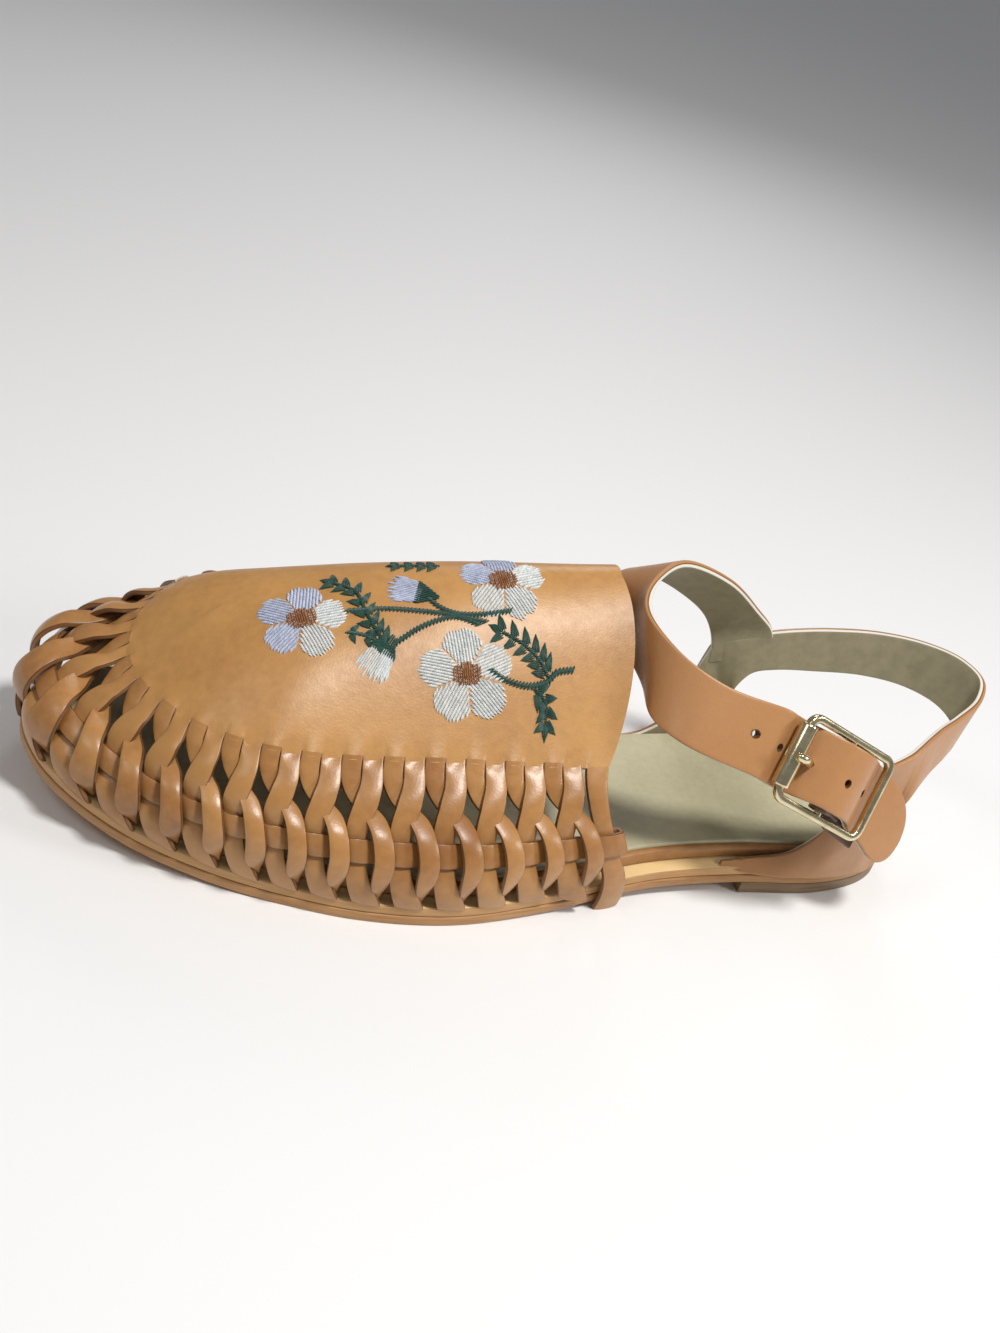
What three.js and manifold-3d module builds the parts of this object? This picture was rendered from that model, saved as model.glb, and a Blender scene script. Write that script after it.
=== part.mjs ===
// A woman's left huarache sandal with a closed woven toe, an open heel and a buckled instep strap.
// Millimetres, +Z up. The toe points to -X, and the outer side, with the buckle, faces -Y.
// The tables give their lengths as shares: along is a share of the sole's length from the heel's
// end, across is a share of the ball's width, outer side negative, and up is a share of the
// instep's rise above the deck, the top of the midsole on which the upper stands.

import * as THREE from 'three';
import { mergeVertices } from 'three/addons/utils/BufferGeometryUtils.js';
import Module from 'manifold-3d';

const wasm = await Module();
wasm.setup();

// Driving sizes
const soleLength = 264;
const ballWidth = 91;
const instepRise = 76;
const heelLiftHeight = 4;
const toeSpring = 10;
const outsoleThickness = 2.9;
const midsoleThickness = 2.8;
const footbedThickness = 4.2;
const insoleThickness = 1;
const seam = 0.3;
const midsoleInset = 0.3;

// Upper
const vampWall = 1.9;
const stripRelief = 1.7;
const edgeLedge = 1.5;
const rimWidth = 1.6;
const pairCount = 27;
const rearBulge = 4.5;
const rearBulgePairs = 4;
const innerRearBulge = 0.3;
const soleBulge = 0.36;

// Lengths of the curve handles of a rib, as shares of its run over the plug and of its drop
// down the woven band, and the most that the plug's edge handle lifts, as a share of the rise
const ridgeHandle = 0.36;
const plugEdgeHandle = 0.3;
const plugEdgeLift = 0.7;
const bandTopHandle = 0.38;
const bandFootHandle = 0.4;

// Straps
const strapThickness = 2.2;
const tabLength = 20;
const tabDroop = 4.5;
const strapWidth = 20.5;
const holeDiameter = 2.4;
const holeSpacing = 8.5;

// Buckle
const buckleLength = 36;
const buckleWire = 2.4;
const centreBarDiameter = 2.4;
const buckleCorner = 2.4;
const rollerWall = 0.9;
const rollerPlay = 0.1;
const chapeThickness = 1.6;
const chapeInset = 1;
const prongDiameter = 2.2;
const prongWidth = 2.8;
const prongOverhang = 3;
const buckleTilt = 23.8;
const buckleLean = 26.8;
const buckleSpot = { along: 0.195, across: -0.448, up: 0.549 };

// Sole outline, the outer and inner edge at each station. The ends are the heel's and toe's tips.
const soleEdges = [
  { along: 0.0, outer: 0.005, inner: 0.005 },
  { along: 0.015, outer: -0.177, inner: 0.176 },
  { along: 0.046, outer: -0.262, inner: 0.265 },
  { along: 0.115, outer: -0.333, inner: 0.331 },
  { along: 0.229, outer: -0.357, inner: 0.327 },
  { along: 0.344, outer: -0.4, inner: 0.293 },
  { along: 0.458, outer: -0.495, inner: 0.279 },
  { along: 0.573, outer: -0.566, inner: 0.352 },
  { along: 0.668, outer: -0.56, inner: 0.437 },
  { along: 0.744, outer: -0.51, inner: 0.47 },
  { along: 0.821, outer: -0.44, inner: 0.467 },
  { along: 0.897, outer: -0.341, inner: 0.412 },
  { along: 0.954, outer: -0.213, inner: 0.333 },
  { along: 0.985, outer: -0.092, inner: 0.243 },
  { along: 1.0, outer: 0.072, inner: 0.072 },
];

// Underside of the sole: flat over the heel lift, flat on the floor at the ball, sprung at the toe
const heelBreast = 0.22;
const ballStart = 0.573;
const ballEnd = 0.725;

// Edge of the plug, where its strips start. pair counts the strip pairs from the rear outer corner
// round the toe, fall is the slope there in degrees, and sole is the share of the sole's edge,
// from the heel round the outer side, at which that rib of the upper stands.
const plugRibs = [
  { pair: -0.7, along: 0.43, across: -0.352, up: 0.455, fall: 45, sole: 0.201 },
  { pair: 3, along: 0.583, across: -0.363, up: 0.453, fall: 45, sole: 0.275 },
  { pair: 6, along: 0.707, across: -0.363, up: 0.43, fall: 46, sole: 0.332 },
  { pair: 8, along: 0.785, across: -0.346, up: 0.428, fall: 46, sole: 0.366 },
  { pair: 10, along: 0.85, across: -0.242, up: 0.394, fall: 42, sole: 0.402 },
  { pair: 12, along: 0.898, across: -0.044, up: 0.352, fall: 36, sole: 0.443 },
  { pair: 13.5, along: 0.909, across: 0.099, up: 0.365, fall: 36, sole: 0.485 },
  { pair: 15, along: 0.896, across: 0.22, up: 0.436, fall: 42, sole: 0.526 },
  { pair: 17, along: 0.851, across: 0.335, up: 0.521, fall: 56, sole: 0.576 },
  { pair: 19, along: 0.784, across: 0.374, up: 0.56, fall: 68, sole: 0.619 },
  { pair: 21, along: 0.705, across: 0.379, up: 0.575, fall: 74, sole: 0.66 },
  { pair: 24, along: 0.583, across: 0.357, up: 0.6, fall: 76, sole: 0.718 },
  { pair: 27.7, along: 0.428, across: 0.335, up: 0.63, fall: 76, sole: 0.783 },
];

// Ridge line of the plug from the rear edge forwards. tilt is its sideways slope in degrees,
// rising to the inner side, and pair is the outer rib that reaches it.
const ridge = [
  { pair: -0.7, along: 0.417, up: 0.94, tilt: 18 },
  { pair: 3, along: 0.56, up: 0.895, tilt: 13 },
  { pair: 6, along: 0.667, up: 0.822, tilt: 9 },
  { pair: 8, along: 0.727, up: 0.76, tilt: 7 },
  { pair: 10, along: 0.776, up: 0.705, tilt: 6 },
  { pair: 12, along: 0.814, up: 0.645, tilt: 5 },
  { pair: 13.5, along: 0.826, up: 0.62, tilt: 5 },
];
const ridgeAcross = 0.088;

// One pair of crossing strips down the woven band, from the plug's edge to the deck. left and
// right bound the pair within its pitch, and h1 to h4 raise its surface from left to right, in
// shares of the strip's relief.
const stripRows = [
  { down: 0.0, left: 0.05, right: 0.95, h1: 0, h2: 0, h3: 0, h4: 0 },
  { down: 0.1, left: 0.08, right: 0.93, h1: 0, h2: 0.2, h3: 0.5, h4: 0.2 },
  { down: 0.23, left: 0.2, right: 0.86, h1: 0.1, h2: 0.5, h3: 0.8, h4: 0.4 },
  { down: 0.36, left: 0.17, right: 0.93, h1: 0.7, h2: 0.9, h3: 0.6, h4: 0.1 },
  { down: 0.46, left: 0.07, right: 0.95, h1: 0.5, h2: 0.6, h3: 0.6, h4: 0.6 },
  { down: 0.6, left: 0.05, right: 0.95, h1: 0.5, h2: 0.6, h3: 1, h4: 0.9 },
  { down: 0.75, left: 0.06, right: 0.95, h1: 0.3, h2: 0.3, h3: 0.9, h4: 0.7 },
  { down: 0.88, left: 0.2, right: 0.92, h1: 0.4, h2: 0.8, h3: 0.5, h4: 0.1 },
  { down: 1.0, left: 0.3, right: 0.95, h1: 0, h2: 0, h3: 0, h4: 0 },
];
const upperGapRows = [0, 4];
const lowerGapRows = [6, 8];
const pairSpots = [0, 0.36, 0.64, 1];
const endStripSpots = [-0.7, -0.4, -0.1];
const plugShares = [1, 0.75, 0.5, 0.25];

// Band of leather that forms the outer ear, the heel loop and the inner ear, from the outer ear's
// front tip round the heel. A low point at up 0 stands on the deck inside the sole's edge.
const slingRows = [
  { lowAlong: 0.284, lowAcross: -0.346, lowUp: 0, highAlong: 0.282, highAcross: -0.346, highUp: 0.03 },
  { lowAlong: 0.227, lowAcross: -0.341, lowUp: 0, highAlong: 0.22, highAcross: -0.341, highUp: 0.056 },
  { lowAlong: 0.182, lowAcross: -0.335, lowUp: 0, highAlong: 0.169, highAcross: -0.341, highUp: 0.118 },
  { lowAlong: 0.148, lowAcross: -0.33, lowUp: 0, highAlong: 0.138, highAcross: -0.349, highUp: 0.25 },
  { lowAlong: 0.125, lowAcross: -0.324, lowUp: 0, highAlong: 0.129, highAcross: -0.363, highUp: 0.421 },
  { lowAlong: 0.102, lowAcross: -0.313, lowUp: 0, highAlong: 0.121, highAcross: -0.357, highUp: 0.526 },
  { lowAlong: 0.076, lowAcross: -0.297, lowUp: 0, highAlong: 0.095, highAcross: -0.324, highUp: 0.539 },
  { lowAlong: 0.053, lowAcross: -0.275, lowUp: 0, highAlong: 0.074, highAcross: -0.297, highUp: 0.559 },
  { lowAlong: 0.056, lowAcross: -0.302, lowUp: 0.184, highAlong: 0.062, highAcross: -0.275, highUp: 0.575 },
  { lowAlong: 0.05, lowAcross: -0.291, lowUp: 0.355, highAlong: 0.049, highAcross: -0.247, highUp: 0.588 },
  { lowAlong: 0.027, lowAcross: -0.231, lowUp: 0.408, highAlong: 0.023, highAcross: -0.192, highUp: 0.605 },
  { lowAlong: -0.004, lowAcross: -0.159, lowUp: 0.441, highAlong: -0.009, highAcross: -0.132, highUp: 0.618 },
  { lowAlong: -0.032, lowAcross: -0.077, lowUp: 0.454, highAlong: -0.042, highAcross: -0.066, highUp: 0.658 },
  { lowAlong: -0.044, lowAcross: 0, lowUp: 0.474, highAlong: -0.055, highAcross: 0.011, highUp: 0.697 },
  { lowAlong: -0.032, lowAcross: 0.077, lowUp: 0.5, highAlong: -0.038, highAcross: 0.088, highUp: 0.724 },
  { lowAlong: 0.002, lowAcross: 0.154, lowUp: 0.513, highAlong: -0.002, highAcross: 0.165, highUp: 0.724 },
  { lowAlong: 0.049, lowAcross: 0.214, lowUp: 0.5, highAlong: 0.049, highAcross: 0.225, highUp: 0.704 },
  { lowAlong: 0.106, lowAcross: 0.258, lowUp: 0.461, highAlong: 0.106, highAcross: 0.258, highUp: 0.668 },
  { lowAlong: 0.152, lowAcross: 0.275, lowUp: 0.434, highAlong: 0.148, highAcross: 0.275, highUp: 0.632 },
  { lowAlong: 0.178, lowAcross: 0.286, lowUp: 0.395, highAlong: 0.174, highAcross: 0.284, highUp: 0.603 },
  { lowAlong: 0.189, lowAcross: 0.291, lowUp: 0.303, highAlong: 0.205, highAcross: 0.305, highUp: 0.546 },
  { lowAlong: 0.182, lowAcross: 0.297, lowUp: 0.211, highAlong: 0.222, highAcross: 0.319, highUp: 0.511 },
  { lowAlong: 0.17, lowAcross: 0.303, lowUp: 0.105, highAlong: 0.231, highAcross: 0.33, highUp: 0.487 },
  { lowAlong: 0.152, lowAcross: 0.308, lowUp: 0, highAlong: 0.236, highAcross: 0.332, highUp: 0.421 },
  { lowAlong: 0.197, lowAcross: 0.314, lowUp: 0, highAlong: 0.242, highAcross: 0.333, highUp: 0.277 },
  { lowAlong: 0.242, lowAcross: 0.325, lowUp: 0, highAlong: 0.258, highAcross: 0.333, highUp: 0.133 },
  { lowAlong: 0.28, lowAcross: 0.333, lowUp: 0, highAlong: 0.288, highAcross: 0.333, highUp: 0.05 },
  { lowAlong: 0.311, lowAcross: 0.333, lowUp: 0, highAlong: 0.312, highAcross: 0.333, highUp: 0.03 },
];

// Instep strap from inside the inner ear over the instep to the buckle. low is its front edge.
const strapRows = [
  { lowAlong: 0.231, lowAcross: 0.33, lowUp: 0.395, highAlong: 0.167, highAcross: 0.286, highUp: 0.5 },
  { lowAlong: 0.235, lowAcross: 0.33, lowUp: 0.484, highAlong: 0.174, highAcross: 0.28, highUp: 0.605 },
  { lowAlong: 0.248, lowAcross: 0.352, lowUp: 0.58, highAlong: 0.208, highAcross: 0.264, highUp: 0.711 },
  { lowAlong: 0.28, lowAcross: 0.341, lowUp: 0.675, highAlong: 0.263, highAcross: 0.225, highUp: 0.851 },
  { lowAlong: 0.36, lowAcross: 0.297, lowUp: 0.814, highAlong: 0.337, highAcross: 0.165, highUp: 0.954 },
  { lowAlong: 0.402, lowAcross: 0.231, lowUp: 0.804, highAlong: 0.373, highAcross: 0.088, highUp: 0.942 },
  { lowAlong: 0.394, lowAcross: 0.066, lowUp: 0.684, highAlong: 0.39, highAcross: 0.022, highUp: 0.913 },
  { lowAlong: 0.386, lowAcross: -0.143, lowUp: 0.643, highAlong: 0.396, highAcross: -0.066, highUp: 0.895 },
  { lowAlong: 0.39, lowAcross: -0.297, lowUp: 0.624, highAlong: 0.371, highAcross: -0.209, highUp: 0.843 },
  { lowAlong: 0.367, lowAcross: -0.396, lowUp: 0.612, highAlong: 0.326, highAcross: -0.308, highUp: 0.794 },
];

// Ear's leather under the strap up to the buckle's centre bar: back along the strap, out from the
// foot, in millimetres from the bar. wrapTurns are its angles round the bar in degrees, and
// chapeEnd is where the folded end is stitched down.
const chapeFold = [
  { back: 24, out: -7.8 },
  { back: 17, out: -6.6 },
  { back: 10, out: -5.2 },
  { back: 4.5, out: -3.6 },
];
const wrapTurns = [-100, -142, -184, -226, -268];
const chapeEnd = [
  { back: 5.5, out: -0.4 },
  { back: 10, out: -2.9 },
];

const degrees = Math.PI / 180;
const deckHeight = outsoleThickness + seam + midsoleThickness;
const insideEdge = edgeLedge + Math.max(vampWall, strapThickness) + 2 * seam;

// Height of the outsole's underside above the floor at a share of the length
function undersideAt(along) {
  const toe = Math.min(Math.max(along - ballEnd, 0) / (1 - ballEnd), 1);
  const spring = toeSpring * toe * toe;
  if (along <= heelBreast) return heelLiftHeight;
  const shank = Math.min((along - heelBreast) / (ballStart - heelBreast), 1);
  return (heelLiftHeight * (1 + Math.cos(Math.PI * shank))) / 2 + spring;
}

// A table point in the part's own frame
function place(along, across, up) {
  const onDeck = undersideAt(along) + deckHeight + (up === 0 ? seam : 0);
  return new THREE.Vector3((0.5 - along) * soleLength, across * ballWidth, onDeck + up * instepRise);
}

function alongAt(x) {
  return 0.5 - x / soleLength;
}

// Moves a point that dips below the deck up on to it
function keepOnDeck(point) {
  point.z = Math.max(point.z, undersideAt(alongAt(point.x)) + deckHeight + seam);
}

// Value of a table's column at a position between its rows, on a smooth curve through them
function column(rows, keyName, valueName, at) {
  const last = rows.length - 2;
  let i = rows.findIndex((row) => row[keyName] > at) - 1;
  if (i < 0) i = at < rows[0][keyName] ? 0 : last;
  const slope = (k) => {
    const before = rows[Math.max(k - 1, 0)];
    const after = rows[Math.min(k + 1, rows.length - 1)];
    return (after[valueName] - before[valueName]) / (after[keyName] - before[keyName]);
  };
  const width = rows[i + 1][keyName] - rows[i][keyName];
  const t = (at - rows[i][keyName]) / width;
  const start = rows[i][valueName];
  const end = rows[i + 1][valueName];
  const ease = t * t * (3 - 2 * t);
  const startPull = t * (1 - t) * (1 - t) * width * slope(i);
  const endPull = t * t * (t - 1) * width * slope(i + 1);
  return start + (end - start) * ease + startPull + endPull;
}

// The sole's edge as a closed curve from the heel's tip round the outer side
const soleCurve = new THREE.CatmullRomCurve3(
  [
    ...soleEdges.map((row) => place(row.along, row.outer, 0).setZ(0)),
    ...soleEdges.slice(1, -1).reverse().map((row) => place(row.along, row.inner, 0).setZ(0)),
  ],
  true,
  'centripetal'
);
soleCurve.arcLengthDivisions = 600;

// Point of the sole's edge moved inwards, with the outward direction there
function edgeAt(share, inset) {
  const wrapped = share - Math.floor(share);
  const point = soleCurve.getPointAt(wrapped);
  const tangent = soleCurve.getTangentAt(wrapped);
  const outward = new THREE.Vector3(-tangent.y, tangent.x, 0).normalize();
  if (outward.dot(point) < 0) outward.negate();
  return { point: point.addScaledVector(outward, -inset), outward };
}

// Point of the sole's edge, moved inwards, on one side of the foot at a share of the length
function sideEdge(along, side, inset) {
  let near = side < 0 ? 0 : 0.5;
  let far = near + 0.5;
  for (let step = 0; step < 30; step += 1) {
    const middle = (near + far) / 2;
    const beyond = alongAt(edgeAt(middle, inset).point.x) > along;
    if (beyond === (side < 0)) far = middle;
    else near = middle;
  }
  return edgeAt(near, inset).point;
}

// Solids from grids of points

function toManifold(geometry) {
  const bare = geometry.clone();
  bare.deleteAttribute('normal');
  bare.deleteAttribute('uv');
  const merged = mergeVertices(bare, 1e-4);
  const mesh = new wasm.Mesh({
    numProp: 3,
    vertProperties: new Float32Array(merged.attributes.position.array),
    triVerts: new Uint32Array(merged.index.array),
  });
  return new wasm.Manifold(mesh);
}

function toGeometry(solid) {
  const mesh = solid.getMesh();
  const geometry = new THREE.BufferGeometry();
  geometry.setAttribute('position', new THREE.BufferAttribute(new Float32Array(mesh.vertProperties), 3));
  geometry.setIndex(new THREE.BufferAttribute(new Uint32Array(mesh.triVerts), 1));
  geometry.computeVertexNormals();
  return geometry;
}

// Normal at each point of a sheet of quads, from the faces round it
function sheetNormals(points, quads) {
  const normals = points.map(() => new THREE.Vector3());
  for (const quad of quads) {
    const [a, b, c, d] = quad.map((i) => points[i]);
    const face = c.clone().sub(a).cross(d.clone().sub(b));
    for (const i of quad) normals[i].add(face);
  }
  return normals.map((normal) => normal.normalize());
}

// Closed solid between two copies of a sheet, its open edges walled. The quads turn
// counter-clockwise seen from the outer copy's side.
function sheetSolid(outer, inner, quads) {
  const shift = outer.length;
  const triangles = [];
  const edges = new Map();
  for (const quad of quads) {
    const corners = quad.filter((point, i) => point !== quad[(i + 1) % 4]);
    for (let i = 1; i + 1 < corners.length; i += 1) {
      triangles.push(corners[0], corners[i], corners[i + 1]);
      triangles.push(corners[0] + shift, corners[i + 1] + shift, corners[i] + shift);
    }
    corners.forEach((from, i) => {
      const to = corners[(i + 1) % corners.length];
      if (edges.has(`${to},${from}`)) edges.delete(`${to},${from}`);
      else edges.set(`${from},${to}`, [from, to]);
    });
  }
  for (const [from, to] of edges.values()) {
    triangles.push(to, from, from + shift, to, from + shift, to + shift);
  }
  const used = [...new Set(triangles)];
  const renumber = new Map(used.map((point, i) => [point, i]));
  const all = [...outer, ...inner];
  const geometry = new THREE.BufferGeometry().setFromPoints(used.map((point) => all[point]));
  geometry.setIndex(triangles.map((point) => renumber.get(point)));
  geometry.computeVertexNormals();
  return geometry;
}

// Band of even thickness through rows of low and high points, smoothed between the rows
function bandSolid(rows, thickness, stepsPerRow, widthSteps) {
  const curves = ['low', 'high'].map(
    (side) => new THREE.CatmullRomCurve3(rows.map((row) => row[side]), false, 'centripetal')
  );
  const stations = (rows.length - 1) * stepsPerRow;
  const points = [];
  for (let i = 0; i <= stations; i += 1) {
    const low = curves[0].getPoint(i / stations);
    const high = curves[1].getPoint(i / stations);
    for (let j = 0; j <= widthSteps; j += 1) points.push(low.clone().lerp(high, j / widthSteps));
  }
  const quads = [];
  for (let i = 0; i < stations; i += 1) {
    for (let j = 0; j < widthSteps; j += 1) {
      const corner = i * (widthSteps + 1) + j;
      quads.push([corner, corner + widthSteps + 1, corner + widthSteps + 2, corner + 1]);
    }
  }
  const normals = sheetNormals(points, quads);
  const outer = points.map((point, i) => point.clone().addScaledVector(normals[i], thickness / 2));
  const inner = points.map((point, i) => point.clone().addScaledVector(normals[i], -thickness / 2));
  for (const point of [...outer, ...inner]) keepOnDeck(point);
  return sheetSolid(outer, inner, quads);
}

// Sole

// Layer of the sole between two heights over its underside, following shank and toe spring
function soleLayer(inset, low, high) {
  const pairs = 54;
  const outline = [];
  for (let i = 0; i <= 2 * pairs; i += 1) outline.push(edgeAt(i / (2 * pairs), inset).point);
  const points = [];
  for (let i = 0; i <= pairs; i += 1) {
    points.push(outline[i], outline[(2 * pairs - i) % (2 * pairs)]);
  }
  const quads = [];
  for (let i = 0; i < pairs; i += 1) {
    const corner = 2 * i;
    const nearEnd = i === 0 ? corner : corner + 1;
    const farEnd = i === pairs - 1 ? corner + 2 : corner + 3;
    quads.push([corner, nearEnd, farEnd, corner + 2]);
  }
  const lift = (height) => points.map((p) => p.clone().setZ(undersideAt(alongAt(p.x)) + height));
  return sheetSolid(lift(high), lift(low), quads);
}

// Block under the heel, cut off straight at the breast
function heelLift() {
  const outline = [sideEdge(heelBreast, 1, 0)];
  const count = 40;
  for (let i = -count; i <= count; i += 1) {
    const point = edgeAt(i / (4 * count), 0).point;
    if (alongAt(point.x) < heelBreast - 0.01) outline.push(point);
  }
  outline.push(sideEdge(heelBreast, -1, 0));
  const shape = new THREE.Shape(outline.map((point) => new THREE.Vector2(point.x, point.y)));
  return new THREE.ExtrudeGeometry(shape, { depth: heelLiftHeight - seam, bevelEnabled: false });
}

// Woven vamp

// Rib of the vamp at a pair position: its ridge point, plug edge and foot on the deck
function ribAt(pair) {
  const edge = place(
    column(plugRibs, 'pair', 'along', pair),
    column(plugRibs, 'pair', 'across', pair),
    column(plugRibs, 'pair', 'up', pair)
  );
  const fall = column(plugRibs, 'pair', 'fall', pair) * degrees;
  const stand = edgeAt(column(plugRibs, 'pair', 'sole', pair), edgeLedge);
  const foot = stand.point.setZ(undersideAt(alongAt(stand.point.x)) + deckHeight + seam);
  const mirrored = Math.min(pair, pairCount - pair);
  const ridgeAlong = column(ridge, 'pair', 'along', mirrored);
  const top = place(ridgeAlong, ridgeAcross, column(ridge, 'pair', 'up', mirrored));
  return { pair, edge, fall, foot, outward: stand.outward, top, mirrored };
}

// Slope of the ridge along the shoe at a rib, rise over run towards the heel
function ridgeSlope(mirrored) {
  const last = ridge[ridge.length - 1].pair;
  const front = Math.min(mirrored + 0.5, last);
  const back = Math.max(mirrored - 0.5, ridge[0].pair);
  const point = (pair) => place(column(ridge, 'pair', 'along', pair), 0, column(ridge, 'pair', 'up', pair));
  const [near, far] = [point(back), point(front)];
  return (near.z - far.z) / (near.x - far.x);
}

function bezier(a, b, c, d, t) {
  return new THREE.CubicBezierCurve3(a, b, c, d).getPoint(t);
}

// Point of the plug between the ridge, share 1, and its edge, share 0
function plugPoint(rib, share) {
  const run = rib.edge.clone().sub(rib.top).setZ(0);
  const tilt = Math.tan(column(ridge, 'pair', 'tilt', rib.mirrored) * degrees);
  const rise = (step) => ridgeSlope(rib.mirrored) * step.x + tilt * step.y;
  const fromTop = run.clone().multiplyScalar(ridgeHandle);
  const fromEdge = run.clone().multiplyScalar(-plugEdgeHandle);
  const b = rib.top.clone().add(fromTop).setZ(rib.top.z + rise(fromTop));
  const mostLift = (rib.top.z - rib.edge.z) * plugEdgeLift;
  const lift = Math.min(fromEdge.length() * Math.tan(rib.fall), mostLift);
  const c = rib.edge.clone().add(fromEdge).setZ(rib.edge.z + lift);
  const point = bezier(rib.edge, c, b, rib.top, share);
  const nearRear = 1 - Math.min(Math.max((rib.mirrored - ridge[0].pair) / rearBulgePairs, 0), 1);
  const bulge = rib.pair < pairCount / 2 ? rearBulge : rearBulge * innerRearBulge;
  point.x += bulge * 4 * share * (1 - share) * nearRear * nearRear;
  return point;
}

// Point of the woven band between the plug's edge, down 0, and the deck, down 1
function bandPoint(rib, down) {
  const drop = rib.edge.distanceTo(rib.foot);
  const away = rib.edge.clone().sub(rib.top).setZ(0).normalize();
  const topReach = drop * bandTopHandle;
  const footReach = drop * bandFootHandle;
  const b = rib.edge.clone().addScaledVector(away, Math.cos(rib.fall) * topReach);
  b.z -= Math.sin(rib.fall) * topReach;
  const c = rib.foot.clone().addScaledVector(rib.outward, soleBulge * footReach);
  c.z += footReach;
  return bezier(rib.edge, b, c, rib.foot, down);
}

// Raised height of the strips at one of a pair's four spots
function stripHeight(row, spot) {
  return [row.h1, row.h2, row.h3, row.h4][spot] * stripRelief;
}

// One hollow wall: the plug over the top of the foot, and the strips with the gaps between them
function wovenVamp() {
  const columns = [];
  for (const spot of endStripSpots) columns.push({ pair: null, end: spot });
  for (let pair = 0; pair < pairCount; pair += 1) {
    for (let spot = 0; spot < pairSpots.length; spot += 1) columns.push({ pair, spot });
  }
  for (const spot of [...endStripSpots].reverse()) columns.push({ pair: null, end: pairCount - spot });
  const rowsDown = stripRows.length;
  const perColumn = rowsDown + plugShares.length;
  const points = [];
  const raised = [];
  const spotAt = (c, row) => {
    if (c.pair === null) return c.end;
    return c.pair + row.left + (row.right - row.left) * pairSpots[c.spot];
  };
  for (const c of columns) {
    for (const share of plugShares) {
      points.push(plugPoint(ribAt(spotAt(c, stripRows[0])), share));
      raised.push(0);
    }
    for (const row of stripRows) {
      points.push(bandPoint(ribAt(spotAt(c, row)), row.down));
      raised.push(c.pair === null ? 0 : stripHeight(row, c.spot));
    }
  }
  const last = columns.length - 1;
  const index = (c, r) => (r === 0 ? Math.min(c, last - c) : c) * perColumn + r;
  const quads = [];
  const solidQuads = [];
  const firstBand = plugShares.length;
  for (let c = 0; c < last; c += 1) {
    const betweenPairs = columns[c].pair !== columns[c + 1].pair;
    for (let r = 0; r < perColumn - 1; r += 1) {
      const quad = [index(c, r), index(c, r + 1), index(c + 1, r + 1), index(c + 1, r)];
      const band = r - firstBand;
      const open = (rows) => band >= rows[0] && band < rows[1];
      quads.push(quad);
      if (!(betweenPairs && (open(upperGapRows) || open(lowerGapRows)))) solidQuads.push(quad);
    }
  }
  const normals = sheetNormals(points, quads);
  points.forEach((point, i) => {
    if (i % perColumn === perColumn - 1) normals[i].setZ(0).normalize();
  });
  const outer = points.map((point, i) => point.clone().addScaledVector(normals[i], raised[i]));
  const inner = points.map((point, i) => point.clone().addScaledVector(normals[i], -vampWall));
  for (const point of [...outer, ...inner]) keepOnDeck(point);
  return sheetSolid(outer, inner, solidQuads);
}

// Buckle frame: out is away from the foot, back runs along the strap towards its tab, and
// down runs across the strap
const buckleBack = new THREE.Vector3(Math.cos(buckleTilt * degrees), 0, -Math.sin(buckleTilt * degrees));
const buckleUpright = new THREE.Vector3(Math.sin(buckleTilt * degrees), 0, Math.cos(buckleTilt * degrees));
const buckleDown = new THREE.Vector3(0, -Math.sin(buckleLean * degrees), 0).addScaledVector(
  buckleUpright,
  -Math.cos(buckleLean * degrees)
);
const buckleOut = buckleDown.clone().cross(buckleBack);
const buckleCentre = place(buckleSpot.along, buckleSpot.across, buckleSpot.up);

function buckleMatrix() {
  const basis = new THREE.Matrix4().makeBasis(buckleBack, buckleDown, buckleOut.clone().negate());
  return basis.setPosition(buckleCentre);
}

// Point in the buckle's frame: back along the strap, down across it, out from the foot
function atBuckle(back, down, out) {
  return buckleCentre
    .clone()
    .addScaledVector(buckleBack, back)
    .addScaledVector(buckleDown, down)
    .addScaledVector(buckleOut, out);
}

const endBar = buckleLength / 2 - buckleWire / 2;
const rollerOuter = (buckleWire / 2) * Math.SQRT2 + rollerWall;
const barRadius = centreBarDiameter / 2;
const chapeOuter = barRadius + seam + chapeThickness;
const strapOverBar = chapeOuter + seam + strapThickness / 2;
const strapUnderBar = -(rollerOuter + 2 * seam + strapThickness / 2);
const buckleWidth = strapWidth + 2 * buckleWire + 4 * seam;

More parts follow.
